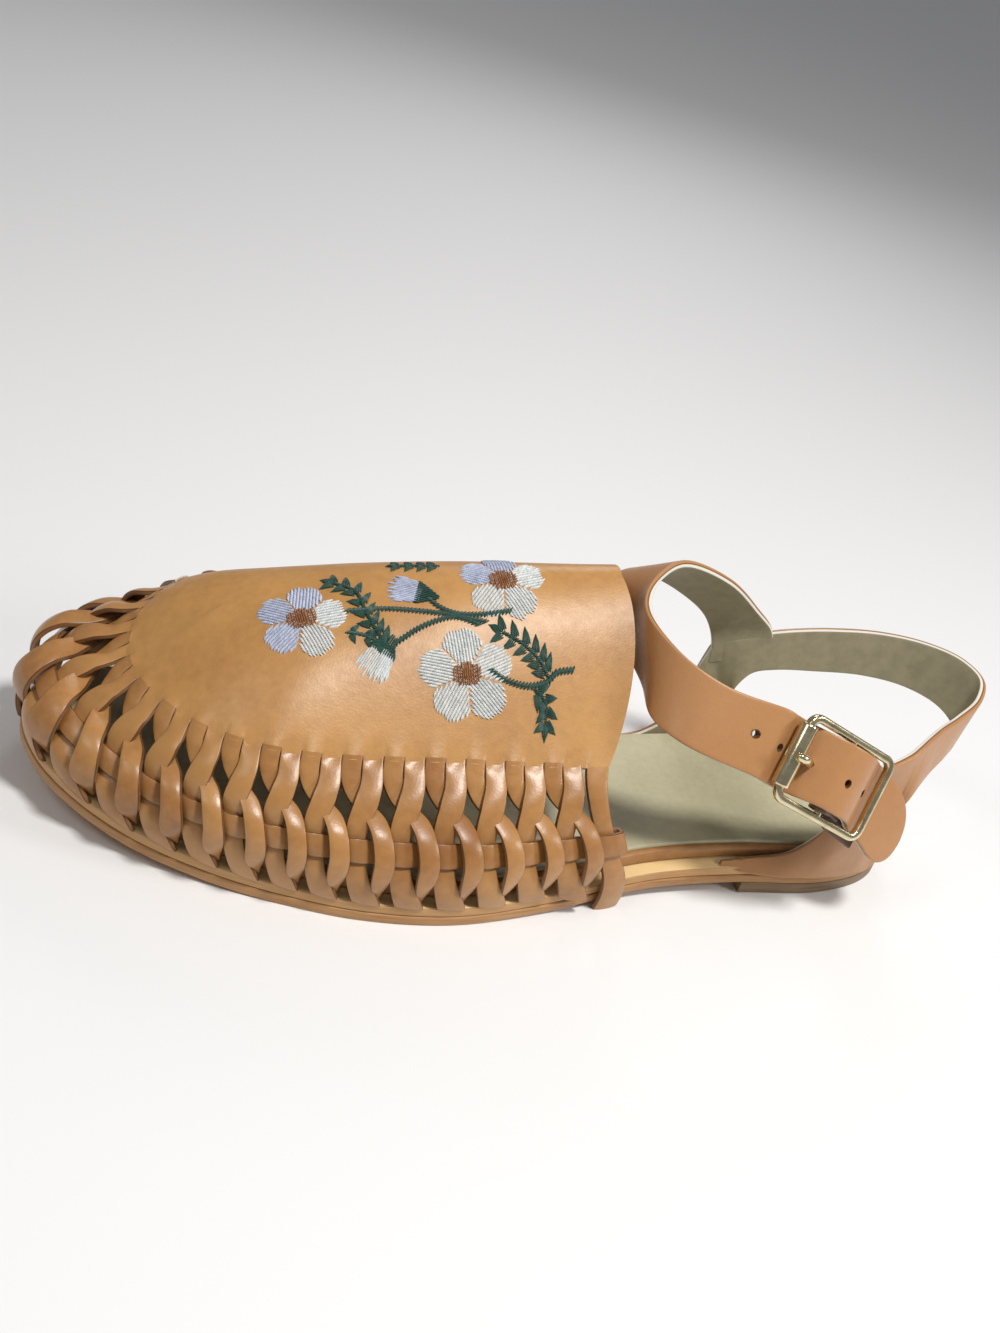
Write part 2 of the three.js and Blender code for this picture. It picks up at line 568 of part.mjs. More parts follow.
// Strap through the buckle: under the roller, over the centre bar, under the far bar, then the
// rounded tab. back is a share of the end bars' distance, half a share of the strap's half width.
function buckledRows() {
  const tabTip = endBar + tabLength;
  const rows = [
    { back: -1.35 * endBar, out: strapUnderBar * 0.9, half: 1, drop: 0 },
    { back: -1.1 * endBar, out: strapUnderBar, half: 1, drop: 0 },
    { back: -0.86 * endBar, out: strapUnderBar * 0.97, half: 1, drop: 0 },
    { back: -0.5 * endBar, out: strapOverBar * 0.3, half: 1, drop: 0 },
    { back: -0.26 * endBar, out: strapOverBar * 0.86, half: 1, drop: 0 },
    { back: 0, out: strapOverBar, half: 1, drop: 0 },
    { back: 0.32 * endBar, out: strapOverBar * 0.8, half: 1, drop: 0 },
    { back: 0.66 * endBar, out: strapOverBar * 0.02, half: 1, drop: 0 },
    { back: endBar, out: strapUnderBar, half: 1, drop: 0 },
    { back: endBar + 0.35 * tabLength, out: strapUnderBar * 1.15, half: 1, drop: 0.15 },
    { back: endBar + 0.65 * tabLength, out: strapUnderBar * 1.3, half: 0.95, drop: 0.45 },
    { back: endBar + 0.85 * tabLength, out: strapUnderBar * 1.4, half: 0.72, drop: 0.75 },
    { back: endBar + 0.96 * tabLength, out: strapUnderBar * 1.45, half: 0.4, drop: 0.93 },
    { back: tabTip, out: strapUnderBar * 1.48, half: 0.1, drop: 1 },
  ];
  return rows.map((row) => {
    const down = row.drop * tabDroop;
    const reach = (row.half * strapWidth) / 2;
    return { low: atBuckle(row.back, down + reach, row.out), high: atBuckle(row.back, down - reach, row.out) };
  });
}

function tableRows(table) {
  return table.map((row) => ({
    low: place(row.lowAlong, row.lowAcross, row.lowUp),
    high: place(row.highAlong, row.highAcross, row.highUp),
  }));
}

// Rows of the sling with the ears' feet set just inside the sole's edge
function seatedSlingRows() {
  const rows = tableRows(slingRows);
  slingRows.forEach((row, i) => {
    if (row.lowUp !== 0) return;
    const side = Math.sign(row.lowAcross);
    const foot = sideEdge(row.lowAlong, side, edgeLedge + strapThickness / 2);
    rows[i].low.setY(foot.y);
    if (row.highUp < 0.2) rows[i].high.setY(foot.y);
  });
  return rows;
}

// Fold of the outer ear's leather round the buckle's centre bar
function chapeRows() {
  const wrap = barRadius + seam + chapeThickness / 2;
  const round = wrapTurns.map((turn) => ({
    back: wrap * Math.cos(turn * degrees),
    out: wrap * Math.sin(turn * degrees),
  }));
  const reach = strapWidth / 2 - chapeInset;
  return [...chapeFold, ...round, ...chapeEnd].map((row) => ({
    low: atBuckle(row.back, reach, row.out),
    high: atBuckle(row.back, -reach, row.out),
  }));
}

// Box in the buckle's frame
function buckleBox(size, back, down, out) {
  const box = new THREE.BoxGeometry(size.x, size.y, size.z);
  box.translate(back, down, -out);
  return box.applyMatrix4(buckleMatrix());
}

// Round rod in the buckle's frame between two spots on its middle line
function buckleRod(diameter, from, to, sides) {
  const start = atBuckle(from.back, 0, from.out);
  const end = atBuckle(to.back, 0, to.out);
  const rod = new THREE.CylinderGeometry(diameter / 2, diameter / 2, start.distanceTo(end), sides);
  rod.applyQuaternion(
    new THREE.Quaternion().setFromUnitVectors(new THREE.Vector3(0, 1, 0), end.clone().sub(start).normalize())
  );
  return rod.translate(...start.lerp(end, 0.5).toArray());
}

const prongRest = rollerOuter + seam + prongDiameter / 2;
const prongRoot = { back: -barRadius - seam, out: barRadius + seam };
const prongTip = { back: -endBar - prongOverhang, out: prongRest + seam };

// The ears, heel loop, instep strap and the fold round the centre bar are one piece of leather
function slingUpper() {
  const sling = toManifold(bandSolid(seatedSlingRows(), strapThickness, 2, 2));
  const strap = toManifold(bandSolid([...tableRows(strapRows), ...buckledRows()], strapThickness, 3, 2));
  const chape = toManifold(bandSolid(chapeRows(), chapeThickness, 2, 1));
  const ringRoom = 2 * (chapeOuter + seam);
  const slotSize = new THREE.Vector3(ringRoom, prongWidth + 2 * seam, ringRoom);
  const slot = toManifold(buckleBox(slotSize, -seam, 0, 0));
  const prongHole = toManifold(buckleRod(prongDiameter + 2 * seam, prongRoot, prongTip, 12));
  let leather = strap.add(sling);
  for (let hole = 1; hole <= 2; hole += 1) {
    const back = -1.35 * endBar - hole * holeSpacing + holeSpacing / 2;
    leather = leather.subtract(strapHole(back));
  }
  return toGeometry(leather.subtract(prongHole).add(chape.subtract(slot)));
}

// Punch for a hole of the strap before the buckle
function strapHole(back) {
  const punch = new THREE.CylinderGeometry(holeDiameter / 2, holeDiameter / 2, 8 * strapThickness, 10);
  punch.rotateX(Math.PI / 2);
  punch.translate(back, 0, -strapUnderBar);
  return toManifold(punch.applyMatrix4(buckleMatrix()));
}

function buckleFrame() {
  const half = new THREE.Vector2(buckleLength / 2, buckleWidth / 2);
  const outline = roundedRectangle(new THREE.Shape(), half, buckleCorner);
  const inside = half.clone().subScalar(buckleWire);
  outline.holes.push(roundedRectangle(new THREE.Path(), inside, buckleCorner / 3));
  const bevel = buckleWire * 0.3;
  const frame = new THREE.ExtrudeGeometry(outline, {
    depth: buckleWire - 2 * bevel,
    bevelThickness: bevel,
    bevelSize: bevel,
    bevelOffset: -bevel,
    bevelSegments: 2,
    curveSegments: 4,
  });
  frame.translate(0, 0, -buckleWire / 2 + bevel);
  const bar = new THREE.CylinderGeometry(barRadius, barRadius, buckleWidth - buckleWire, 12);
  return toGeometry(toManifold(frame).add(toManifold(bar))).applyMatrix4(buckleMatrix());
}

function roundedRectangle(path, half, corner) {
  path.moveTo(-half.x + corner, -half.y);
  path.lineTo(half.x - corner, -half.y);
  path.absarc(half.x - corner, -half.y + corner, corner, -Math.PI / 2, 0);
  path.lineTo(half.x, half.y - corner);
  path.absarc(half.x - corner, half.y - corner, corner, 0, Math.PI / 2);
  path.lineTo(-half.x + corner, half.y);
  path.absarc(-half.x + corner, half.y - corner, corner, Math.PI / 2, Math.PI);
  path.lineTo(-half.x, -half.y + corner);
  path.absarc(-half.x + corner, -half.y + corner, corner, Math.PI, 1.5 * Math.PI);
  return path;
}

// Ring of revolution about the down axis of the buckle, as its own closed section
function buckleRing(innerRadius, outerRadius, width, sides, back) {
  const section = [
    new THREE.Vector2(innerRadius, -width / 2),
    new THREE.Vector2(outerRadius, -width / 2),
    new THREE.Vector2(outerRadius, width / 2),
    new THREE.Vector2(innerRadius, width / 2),
    new THREE.Vector2(innerRadius, -width / 2),
  ];
  const ring = new THREE.LatheGeometry(section, sides);
  return ring.translate(back, 0, 0).applyMatrix4(buckleMatrix());
}

function buckleRoller() {
  const inner = rollerOuter - rollerWall + rollerPlay;
  return toGeometry(toManifold(buckleRing(inner, rollerOuter, strapWidth - 2, 20, -endBar)));
}

function buckleProng() {
  const ring = toManifold(buckleRing(barRadius + seam, chapeOuter, prongWidth, 20, 0));
  const rod = toManifold(buckleRod(prongDiameter, prongRoot, prongTip, 12));
  return toGeometry(ring.add(rod.subtract(centreBarRoom())));
}

// Room round the centre bar inside the prong's ring
function centreBarRoom() {
  const radius = barRadius + seam;
  const room = new THREE.CylinderGeometry(radius, radius, buckleWidth, 20);
  return toManifold(room.applyMatrix4(buckleMatrix()));
}

// Finishes
const tan = { color: 0xb2895a, roughness: 0.42, metalness: 0 };
const brass = { color: 0xcfc5aa, roughness: 0.25, metalness: 1 };

function piece(name, geometry, finish) {
  const mesh = new THREE.Mesh(geometry, new THREE.MeshStandardMaterial(finish));
  mesh.name = name;
  return mesh;
}

const footbedTop = deckHeight + seam + footbedThickness;
const shoe = new THREE.Group();
shoe.add(
  piece('heel_lift', heelLift(), { color: 0x7e6a4f, roughness: 0.6, metalness: 0 }),
  piece('outsole', soleLayer(0, 0, outsoleThickness), { color: 0xb18c5f, roughness: 0.5, metalness: 0 }),
  piece('midsole', soleLayer(midsoleInset, outsoleThickness + seam, deckHeight), {
    color: 0xf0d29a,
    roughness: 0.6,
    metalness: 0,
  }),
  piece('footbed', soleLayer(insideEdge, deckHeight + seam, footbedTop), {
    color: 0xc99d6b,
    roughness: 0.5,
    metalness: 0,
  }),
  piece('insole', soleLayer(insideEdge + rimWidth, footbedTop + seam, footbedTop + seam + insoleThickness), {
    color: 0xccc8ac,
    roughness: 0.55,
    metalness: 0,
  }),
  piece('woven_vamp', wovenVamp(), tan),
  piece('sling_upper', slingUpper(), tan),
  piece('buckle_frame', buckleFrame(), brass),
  piece('buckle_roller', buckleRoller(), brass),
  piece('buckle_prong', buckleProng(), brass)
);

// The origin is on the floor under the middle of the shoe's own box
const box = new THREE.Box3().setFromObject(shoe);
const middle = box.getCenter(new THREE.Vector3());
shoe.position.set(-middle.x, -middle.y, -box.min.z);

export default shoe;
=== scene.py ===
# %% [markdown]
# # A woven huarache sandal
#
# The sandal is one tan leather shoe: a toe piece cut into strips that cross round a thong, a thin
# layered sole, and a lined sling with an instep strap and a roller buckle. This lesson dresses the
# measured model with fine surfaces. Every surface is a formula on a grid, worked out with numpy in
# millimetres, because a formula can be bent, thickened and reused for the next piece.

import math

import bmesh
import bpy
import numpy as np
from mathutils import Matrix, Vector


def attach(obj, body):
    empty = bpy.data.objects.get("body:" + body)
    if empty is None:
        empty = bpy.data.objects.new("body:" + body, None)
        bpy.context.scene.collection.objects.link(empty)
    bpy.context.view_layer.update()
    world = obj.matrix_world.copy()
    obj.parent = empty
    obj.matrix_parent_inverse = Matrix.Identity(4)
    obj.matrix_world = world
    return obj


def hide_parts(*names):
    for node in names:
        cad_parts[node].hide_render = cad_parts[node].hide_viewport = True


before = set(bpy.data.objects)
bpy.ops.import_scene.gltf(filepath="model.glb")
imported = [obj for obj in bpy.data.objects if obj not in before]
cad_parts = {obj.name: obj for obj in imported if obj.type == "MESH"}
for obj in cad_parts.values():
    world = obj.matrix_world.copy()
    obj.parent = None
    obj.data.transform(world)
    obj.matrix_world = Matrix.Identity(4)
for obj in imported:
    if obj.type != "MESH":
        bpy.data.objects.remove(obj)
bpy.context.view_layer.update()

# %% [markdown]
# ## The last
#
# A shoe is built round a last, a wooden foot. Its sizes are few: the sole's length, the ball's
# width and the instep's rise. All tables below are shares of those three, so one function turns a
# row into a point. The real shoe's sole is flat at the ball, sprung at the toe and lifted at the
# heel, and that is the underside's formula.

# %% Sizes and places on the last
SOLE_LENGTH = 264.0
BALL_WIDTH = 91.0
INSTEP_RISE = 76.0
HEEL_LIFT = 4.0
TOE_SPRING = 10.0
OUTSOLE = 2.9
MIDSOLE = 2.8
FOOTBED = 4.2
INSOLE = 1.0
SEAM = 0.3
DECK = OUTSOLE + SEAM + MIDSOLE
HEEL_BREAST = 0.22
BALL_START = 0.573
BALL_END = 0.725
EDGE_LEDGE = 1.5
PAIRS = 27
BOX_SHIFT = np.array([-7.184, 3.924, 0.0])
print(f"sole {SOLE_LENGTH} mm long, {BALL_WIDTH} mm wide at the ball, {DECK:.1f} mm thick")


# %% Places on the last
def table(names, rows):
    """Named columns of a table, as arrays."""
    return dict(zip(names.split(), np.array(rows, float).T))


def underside(along):
    """Height of the sole's underside: a cosine ramp from the heel to the ball, then a parabola up to the toe."""
    toe = np.clip((along - BALL_END) / (1 - BALL_END), 0, 1)
    shank = np.clip((along - HEEL_BREAST) / (BALL_START - HEEL_BREAST), 0, 1)
    return HEEL_LIFT * (1 + np.cos(math.pi * shank)) / 2 + TOE_SPRING * toe**2


def place(along, across, up):
    """A point from shares of length, ball width and instep rise above the deck."""
    along, across, up = np.broadcast_arrays(np.asarray(along, float), across, up)
    rest = underside(along) + DECK + np.where(up == 0, SEAM, 0)
    return np.stack([(0.5 - along) * SOLE_LENGTH, across * BALL_WIDTH, rest + up * INSTEP_RISE], -1)


def along_at(x):
    """Share of the length from the heel, at a distance in front of or behind the middle."""
    return 0.5 - x / SOLE_LENGTH


print("underside at the heel, arch, ball and toe, mm:", underside(np.array([0, 0.4, 0.65, 1])).round(1))


# %% Curves through tables
def column(rows, key, value, at):
    """Value of a column between its rows: a cubic whose slope at a row is the chord of its neighbours."""
    k, v = rows[key], rows[value]
    slope = np.gradient(v)
    slope[1:-1] = (v[2:] - v[:-2]) / (k[2:] - k[:-2])
    slope[0] = (v[1] - v[0]) / (k[1] - k[0])
    slope[-1] = (v[-1] - v[-2]) / (k[-1] - k[-2])
    i = np.clip(np.searchsorted(k, at, side="right") - 1, 0, len(k) - 2)
    width = k[i + 1] - k[i]
    t = (at - k[i]) / width
    ease = t * t * (3 - 2 * t)
    pull = t * (1 - t) ** 2 * slope[i] + t * t * (t - 1) * slope[i + 1]
    return v[i] + (v[i + 1] - v[i]) * ease + pull * width


def spline(points, at, closed=False):
    """Centripetal Catmull-Rom curve through points, at positions counted in rows."""
    if closed:
        padded = np.concatenate([points[-1:], points, points[:2]])
        last = len(points)
    else:
        before, after = 2 * points[:1] - points[1:2], 2 * points[-1:] - points[-2:-1]
        padded = np.concatenate([before, points, after])
        last = len(points) - 1
    i = np.clip(np.floor(at).astype(int), 0, last - 1)
    t = (at - i)[..., None]
    a, b, c, d = (padded[i + k] for k in range(4))
    chords = (b - a, c - b, d - c)
    step = [np.maximum(np.sqrt(np.linalg.norm(chord, axis=-1, keepdims=True)), 1e-4) for chord in chords]
    start = ((b - a) / step[0] - (c - a) / (step[0] + step[1]) + (c - b) / step[1]) * step[1]
    end = ((c - b) / step[1] - (d - b) / (step[1] + step[2]) + (d - c) / step[2]) * step[1]
    return b + start * t + (3 * (c - b) - 2 * start - end) * t**2 + (2 * (b - c) + start + end) * t**3


def bezier(a, b, c, d, t):
    """Cubic curve from a to d with handles b and c."""
    t = t[..., None]
    return a * (1 - t) ** 3 + 3 * b * t * (1 - t) ** 2 + 3 * c * t * t * (1 - t) + d * t**3


def unit(vectors):
    """Vectors of length one."""
    return vectors / np.maximum(np.linalg.norm(vectors, axis=-1, keepdims=True), 1e-9)


corners = np.array([[0, 0], [1, 0], [1, 1], [0, 1.0]])
print("half way between the first corners of a square, on its spline:", spline(corners, np.array([0.5]), closed=True))

# %% [markdown]
# ## Meshes from grids
#
# Every piece is a grid of points whose neighbours are joined by quads, or a closed section carried
# along a path. One helper turns arrays into a mesh, another joins many alike pieces into one, and
# a third closes a section round a path and turns it right side out by the sign of its volume.

# %% Grids and meshes
def grid_quads(rows, cols, close_rows=False, close_cols=False):
    """Quads between the points of a rows by cols grid."""
    r = np.arange(rows if close_rows else rows - 1)
    c = np.arange(cols if close_cols else cols - 1)
    r, c = np.meshgrid(r, c, indexing="ij")
    r2, c2 = (r + 1) % rows, (c + 1) % cols
    return np.stack([r * cols + c, r2 * cols + c, r2 * cols + c2, r * cols + c2], -1).reshape(-1, 4)


def signed_volume(points, quads):
    """Six times the volume inside quads, positive where they face outwards."""
    a, b, c, d = (points[quads[:, k]] for k in range(4))
    return (np.einsum("ij,ij->i", a, np.cross(b, c)) + np.einsum("ij,ij->i", a, np.cross(c, d))).sum()


def build(name, points, faces, attributes=None, sharp=50):
    """A mesh object from millimetre points in the last's frame, shaded smooth but for corners over sharp degrees."""
    mesh = bpy.data.meshes.new(name)
    mesh.from_pydata(((np.asarray(points) + BOX_SHIFT) * 0.001).tolist(), [], [list(f) for f in faces])
    for label, values in (attributes or {}).items():
        mesh.attributes.new(label, "FLOAT", "POINT").data.foreach_set("value", np.asarray(values, np.float32))
    mesh.validate()
    mesh.update()
    mesh.shade_smooth()
    mesh.set_sharp_from_angle(angle=math.radians(sharp))
    obj = bpy.data.objects.new(name, mesh)
    bpy.context.scene.collection.objects.link(obj)
    return obj


print("a tube of 3 rings with 8 points each has", len(grid_quads(3, 8, close_cols=True)), "quads")


# %% Solids from closed sections
def loft(sections, side=None, tone=0.0):
    """Solid through closed sections (rows, points, 3), capped at both ends: points, faces and attributes."""
    rows, cols = sections.shape[:2]
    points = sections.reshape(-1, 3)
    quads = grid_quads(rows, cols, close_cols=True)
    caps = np.array([np.arange(cols), len(points) - 1 - np.arange(cols)])
    hub = np.zeros(cols - 2, int)
    fans = [np.column_stack([cap[hub], cap[1:-1], cap[2:], cap[hub]]) for cap in caps]
    if signed_volume(points - points.mean(0), np.concatenate([quads, *fans])) < 0:
        quads, caps = quads[:, ::-1], caps[:, ::-1]
    values = np.zeros((rows, cols)) if side is None else np.broadcast_to(side, (rows, cols))
    attributes = {"side": values.ravel(), "tone": np.full(len(points), tone), "raw": np.zeros(len(points))}
    return points, quads.tolist() + caps.tolist(), attributes


def joined(name, parts, sharp=50):
    """Many solids as one mesh object."""
    points, faces, attributes, shift = [], [], {}, 0
    for part_points, part_faces, part_attributes in parts:
        points.append(part_points)
        faces += [[i + shift for i in face] for face in part_faces]
        for label, values in part_attributes.items():
            attributes.setdefault(label, []).append(values)
        shift += len(part_points)
    merged = {label: np.concatenate(values) for label, values in attributes.items()}
    return build(name, np.concatenate(points), faces, merged, sharp)


def strap_section(thickness, flat=8, corner=0.35):
    """Section of a strap with cut edges: share of the half width, millimetres added to it, height, and side,
    which is 1 on the outer face and -1 on the inner one. Its corners are quarter circles."""
    r = thickness / 2
    turn = np.radians([22.5, 45, 67.5])
    reach = np.concatenate([corner * (np.sin(turn) - 1), [0, 0], corner * (np.sin(turn[::-1]) - 1)])
    drop = corner * (1 - np.cos(turn))
    rise = np.concatenate([r - drop, [r - corner, corner - r], drop[::-1] - r])
    row = np.linspace(-1, 1, flat + 1)
    face = np.where(np.abs(row) == 1, -corner * row, 0)
    share = np.concatenate([row, np.ones(len(rise)), row[::-1], -np.ones(len(rise))])
    reach = np.concatenate([face, reach, face[::-1], -reach[::-1]])
    height = np.concatenate([np.full(flat + 1, r), rise, np.full(flat + 1, -r), rise[::-1]])
    return share, reach, height, height / r


print("a strap section of 2.2 mm has", len(strap_section(2.2)[0]), "points")


# %% Finishing a piece
def finished(obj, material, slot, *nodes):
    """Gives a piece its material and hides the solids that it stands for; slot is not used."""
    if not obj.data.materials:
        obj.data.materials.append(material)
    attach(obj, "root")
    if nodes:
        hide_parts(*nodes)
    print(f"{obj.name}: {len(obj.data.polygons)} faces")
    return obj


# %% [markdown]
# ## Shader maths as Python
#
# A material is a graph of nodes. Written by hand it takes a line for each wire, so a small class
# wraps a socket and gives it Python's operators: `mask * 0.4 + 0.1` adds its two Math nodes.

# %% A socket with operators
class Value:
    """An output socket of a material's graph."""

    def __init__(self, graph, socket):
        self.graph, self.socket = graph, socket

    def _math(self, operation, *values):
        return self.graph.node("ShaderNodeMath", {"operation": operation}, dict(enumerate(values)))

    def __add__(self, other):
        return self._math("ADD", self, other)

    def __sub__(self, other):
        return self._math("SUBTRACT", self, other)

    def __rsub__(self, other):
        return self._math("SUBTRACT", other, self)

    def __mul__(self, other):
        return self._math("MULTIPLY", self, other)

    __radd__ = __add__
    __rmul__ = __mul__

    def band(self, low, high):
        """0 below low, 1 above high, smooth between."""
        ends = {"Value": self, "From Min": low, "From Max": high}
        return self.graph.node("ShaderNodeMapRange", {"interpolation_type": "SMOOTHSTEP"}, ends)


# %% A material as an object
class Graph:
    """Nodes of one material, with its Principled shader, whose fixed sockets are named in the call."""

    def __init__(self, name, **fixed):
        self.material = bpy.data.materials.new(name)
        self.material.use_nodes = True
        self.tree = self.material.node_tree
        self.shader = self.tree.nodes["Principled BSDF"]
        for label, value in fixed.items():
            self.shader.inputs[label.replace("_", " ")].default_value = value

    def node(self, kind, settings=None, values=None, out=0):
        """A node of a type, its settings made first, then its sockets linked or set."""
        made = self.tree.nodes.new(kind)
        for label, value in (settings or {}).items():
            setattr(made, label, value)
        for label, value in (values or {}).items():
            if isinstance(value, Value):
                self.tree.links.new(value.socket, made.inputs[label])
            else:
                made.inputs[label].default_value = value
        return Value(self, made.outputs[out])

    def place(self):
        """The point's place on the object, in metres."""
        return self.node("ShaderNodeTexCoord", out="Object")

    def attribute(self, name):
        """A number that the mesh carries at its points."""
        return self.node("ShaderNodeAttribute", {"attribute_name": name}, out="Fac")

    def noise(self, scale, detail=3.0, stretch=None, roughness=0.55):
        """Soft noise, its size one over scale in metres, stretched along the shoe's axes if asked."""
        at = self.place()
        if stretch:
            at = self.node("ShaderNodeMapping", None, {"Vector": at, "Scale": stretch})
        values = {"Vector": at, "Scale": scale, "Detail": detail, "Roughness": roughness}
        return self.node("ShaderNodeTexNoise", {"normalize": True}, values, out="Fac")

    def cells(self, scale):
        """Distance to the nearest of many scattered points."""
        values = {"Vector": self.place(), "Scale": scale}
        return self.node("ShaderNodeTexVoronoi", {"feature": "F1"}, values, out="Distance")

    def mix(self, share, low, high, blend="MIX"):
        """Colour between low and high."""
        settings = {"data_type": "RGBA", "blend_type": blend}
        return self.node("ShaderNodeMix", settings, {0: share, 6: low, 7: high}, out=2)

    def wear(self, **links):
        """Links values to the shader's sockets."""
        for label, value in links.items():
            self.tree.links.new(value.socket, self.shader.inputs[label.replace("_", " ")])
        return self

    def bump(self, height, strength, distance):
        """Fine relief."""
        values = {"Height": height, "Strength": strength, "Distance": distance}
        made = self.node("ShaderNodeBump", None, values)
        self.tree.links.new(made.socket, self.shader.inputs["Normal"])
        return self


def srgb(red, green, blue):
    """Colour from 0 to 255 shares, as the linear light that a shader reads."""
    share = np.array([red, green, blue]) / 255
    linear = np.where(share <= 0.04045, share / 12.92, ((share + 0.055) / 1.055) ** 2.4)
    return (*linear.tolist(), 1.0)


# %% [markdown]
# ## Leathers
#
# Vegetable tanned leather is smooth and satin. Its colour drifts in soft clouds, fine pores break
# the shine, and cut edges are paler than the face, but the strips' cut edges are dark, partly dyed
# and partly painted shade. Where face meets edge runs a darker line, partly burnish and partly
# painted shade. Each piece carries an attribute, side, which runs from 1 on the face over 0 on the
# cut edge to -1 on the lining, so one material finishes all three without seams between them.

# %% The leather material
def leather(name, face, shade, edge, lining, gloss=0.4, grain=0.22, coat=0.12, line=0.6):
    """Face colour with clouds and pores, a dark line on the edge where side passes line, partly burnish and partly
    painted shade, a cut edge, and a lining.
    """
    g = Graph(name, Coat_Weight=coat, Coat_Roughness=0.32, Specular_IOR_Level=0.45)
    clouds = g.noise(38, 4.0)
    fine = g.noise(420, 4.0)
    pores = g.cells(1500)
    hairs = g.noise(900, 3.0, stretch=(0.35, 1.0, 1.0))
    tone = g.attribute("tone")
    side = g.attribute("side")
    mottled = g.mix((clouds * 0.75 + fine * 0.35 + tone).band(0.3, 0.95), face, shade)
    # A line darker than the shade colour runs round every edge where face meets cut edge: partly burnish, partly
    # painted shade.
    dark = tuple(c * 0.4 for c in shade[:3]) + (1.0,)
    pale = g.mix(g.noise(500, 2.0).band(0.3, 0.8) * 0.4, lining, edge)
    cut = g.mix(g.attribute("raw"), edge, pale)
    burnish_and_edge_shade = g.mix(side.band(line - 0.2, line + 0.1), cut, dark)
    outer = g.mix(side.band(line + 0.25, line + 0.395), burnish_and_edge_shade, mottled)
    lined = g.mix(g.noise(260, 4.0).band(0.3, 0.75), lining, tuple(c * 0.82 for c in lining[:3]) + (1.0,))
    colour = g.mix(side.band(-0.99, -0.85), lined, outer)
    back = side.band(-0.6, -0.9)
    rough = (1 - back) * (clouds * 0.16 + fine * 0.1 + gloss - 0.12) + back * 0.62
    g.wear(Base_Color=colour, Roughness=rough)
    return g.bump(pores * 0.35 + fine * 0.5 + hairs * 0.25, grain, 0.0003).material


# %% Leathers of the upper
TAN = srgb(196, 146, 84)
TAN_SHADE = srgb(160, 110, 60)
STRIP_TAN = srgb(184, 134, 78)
STRAP_TAN = srgb(182, 132, 86)
# Dark brown cut edge of the strips and vamp: partly dyed edge colour, partly painted shade in the crevices between
# strips.
CUT_EDGE = srgb(132, 88, 52)
STRAP_EDGE = srgb(226, 219, 205)
WHITE_BACK = srgb(222, 205, 192)
SOCK_BEIGE = srgb(162, 153, 125)

vamp_leather = leather("tan_vamp_leather", TAN, TAN_SHADE, CUT_EDGE, WHITE_BACK)
strip_leather = leather(
    "tan_strip_leather", STRIP_TAN, srgb(144, 94, 48), CUT_EDGE, srgb(150, 112, 76), gloss=0.34, coat=0.25
)
strap_leather = leather(
    "tan_strap_leather", STRAP_TAN, srgb(172, 120, 74), STRAP_EDGE, SOCK_BEIGE, gloss=0.34, line=-0.1
)
# All the chape's colours are dark: painted shade for the shadowed hollow under the strap inside the buckle.
chape_leather = leather(
    "chape_painted_shade_leather", srgb(132, 92, 58), srgb(104, 70, 42), srgb(84, 56, 34), srgb(88, 62, 42)
)
print("leather materials:", [m.name for m in bpy.data.materials])


# %% Sole, sock and brass
def sole_edge_leather(name, face, shade, line, top=None):
    """Stacked layers seen on edge: fine lines that follow the layers, over soft clouds, and a top of its own."""
    g = Graph(name, Specular_IOR_Level=0.4)
    streaks = g.noise(60, 4.0, stretch=(1.0, 1.0, 26.0))
    fibres = g.noise(700, 3.0, stretch=(0.25, 0.25, 3.0))
    clouds = g.noise(30, 3.0)
    face_colour = g.mix((streaks * 0.7 + clouds * 0.5).band(0.35, 0.85), face, shade)
    colour = g.mix(fibres.band(0.58, 0.8) * 0.5, face_colour, line)
    if top:
        colour = g.mix(g.attribute("side").band(0.3, 0.9), colour, g.mix(clouds.band(0.3, 0.8) * 0.3, top, face))
    g.wear(Base_Color=colour, Roughness=streaks * 0.2 + 0.38)
    return g.bump(streaks * 0.4 + fibres * 0.6, 0.35, 0.0003).material


outsole_leather = sole_edge_leather(
    "outsole_leather", srgb(190, 145, 96), srgb(160, 114, 68), srgb(120, 82, 48)
)
welt_leather = sole_edge_leather(
    "midsole_leather", srgb(204, 160, 108), srgb(182, 136, 84), srgb(150, 106, 62), top=srgb(238, 208, 152)
)
heel_leather = sole_edge_leather("heel_leather", srgb(150, 124, 92), srgb(112, 88, 62), srgb(84, 62, 42))


def sock_leather(name, face, shade):
    """Smooth leather of one kind all round, with clouds and fine pores."""
    g = Graph(name, Specular_IOR_Level=0.4)
    clouds = g.noise(22, 4.0)
    fine = g.noise(500, 4.0)
    colour = g.mix((clouds * 0.8 + fine * 0.3).band(0.35, 0.85), face, shade)
    g.wear(Base_Color=colour, Roughness=fine * 0.15 + 0.42)
    return g.bump(fine + g.cells(1300) * 0.4, 0.18, 0.0003).material


insole_leather = sock_leather("insole_leather", srgb(196, 190, 158), srgb(172, 165, 134))


def brass(name):
    """Pale plated metal with soft clouds and fine scuffs."""
    g = Graph(name, Metallic=1.0)
    clouds = g.noise(160, 3.0)
    scuffs = g.noise(900, 3.0, stretch=(0.2, 1.0, 1.0))
    colour = g.mix(clouds.band(0.35, 0.75), srgb(226, 213, 176), srgb(200, 186, 148))
    g.wear(Base_Color=colour, Roughness=scuffs * 0.18 + 0.12)
    return g.bump(scuffs, 0.05, 0.0002).material


pale_brass = brass("pale_brass_plating")
print("materials in all:", len(bpy.data.materials))

# %% [markdown]
# ## The sole
#
# The sole is a stack: a stitched-down pale midsole on a thin leather outsole with a low heel block,
# and inside it a board wrapped in tan leather with a beige sock on top. Each layer has the same
# outline, moved in by a few millimetres. A layer is a ring of sections round that outline, each
# section a short profile with rounded corners, and a grid that closes top and bottom.

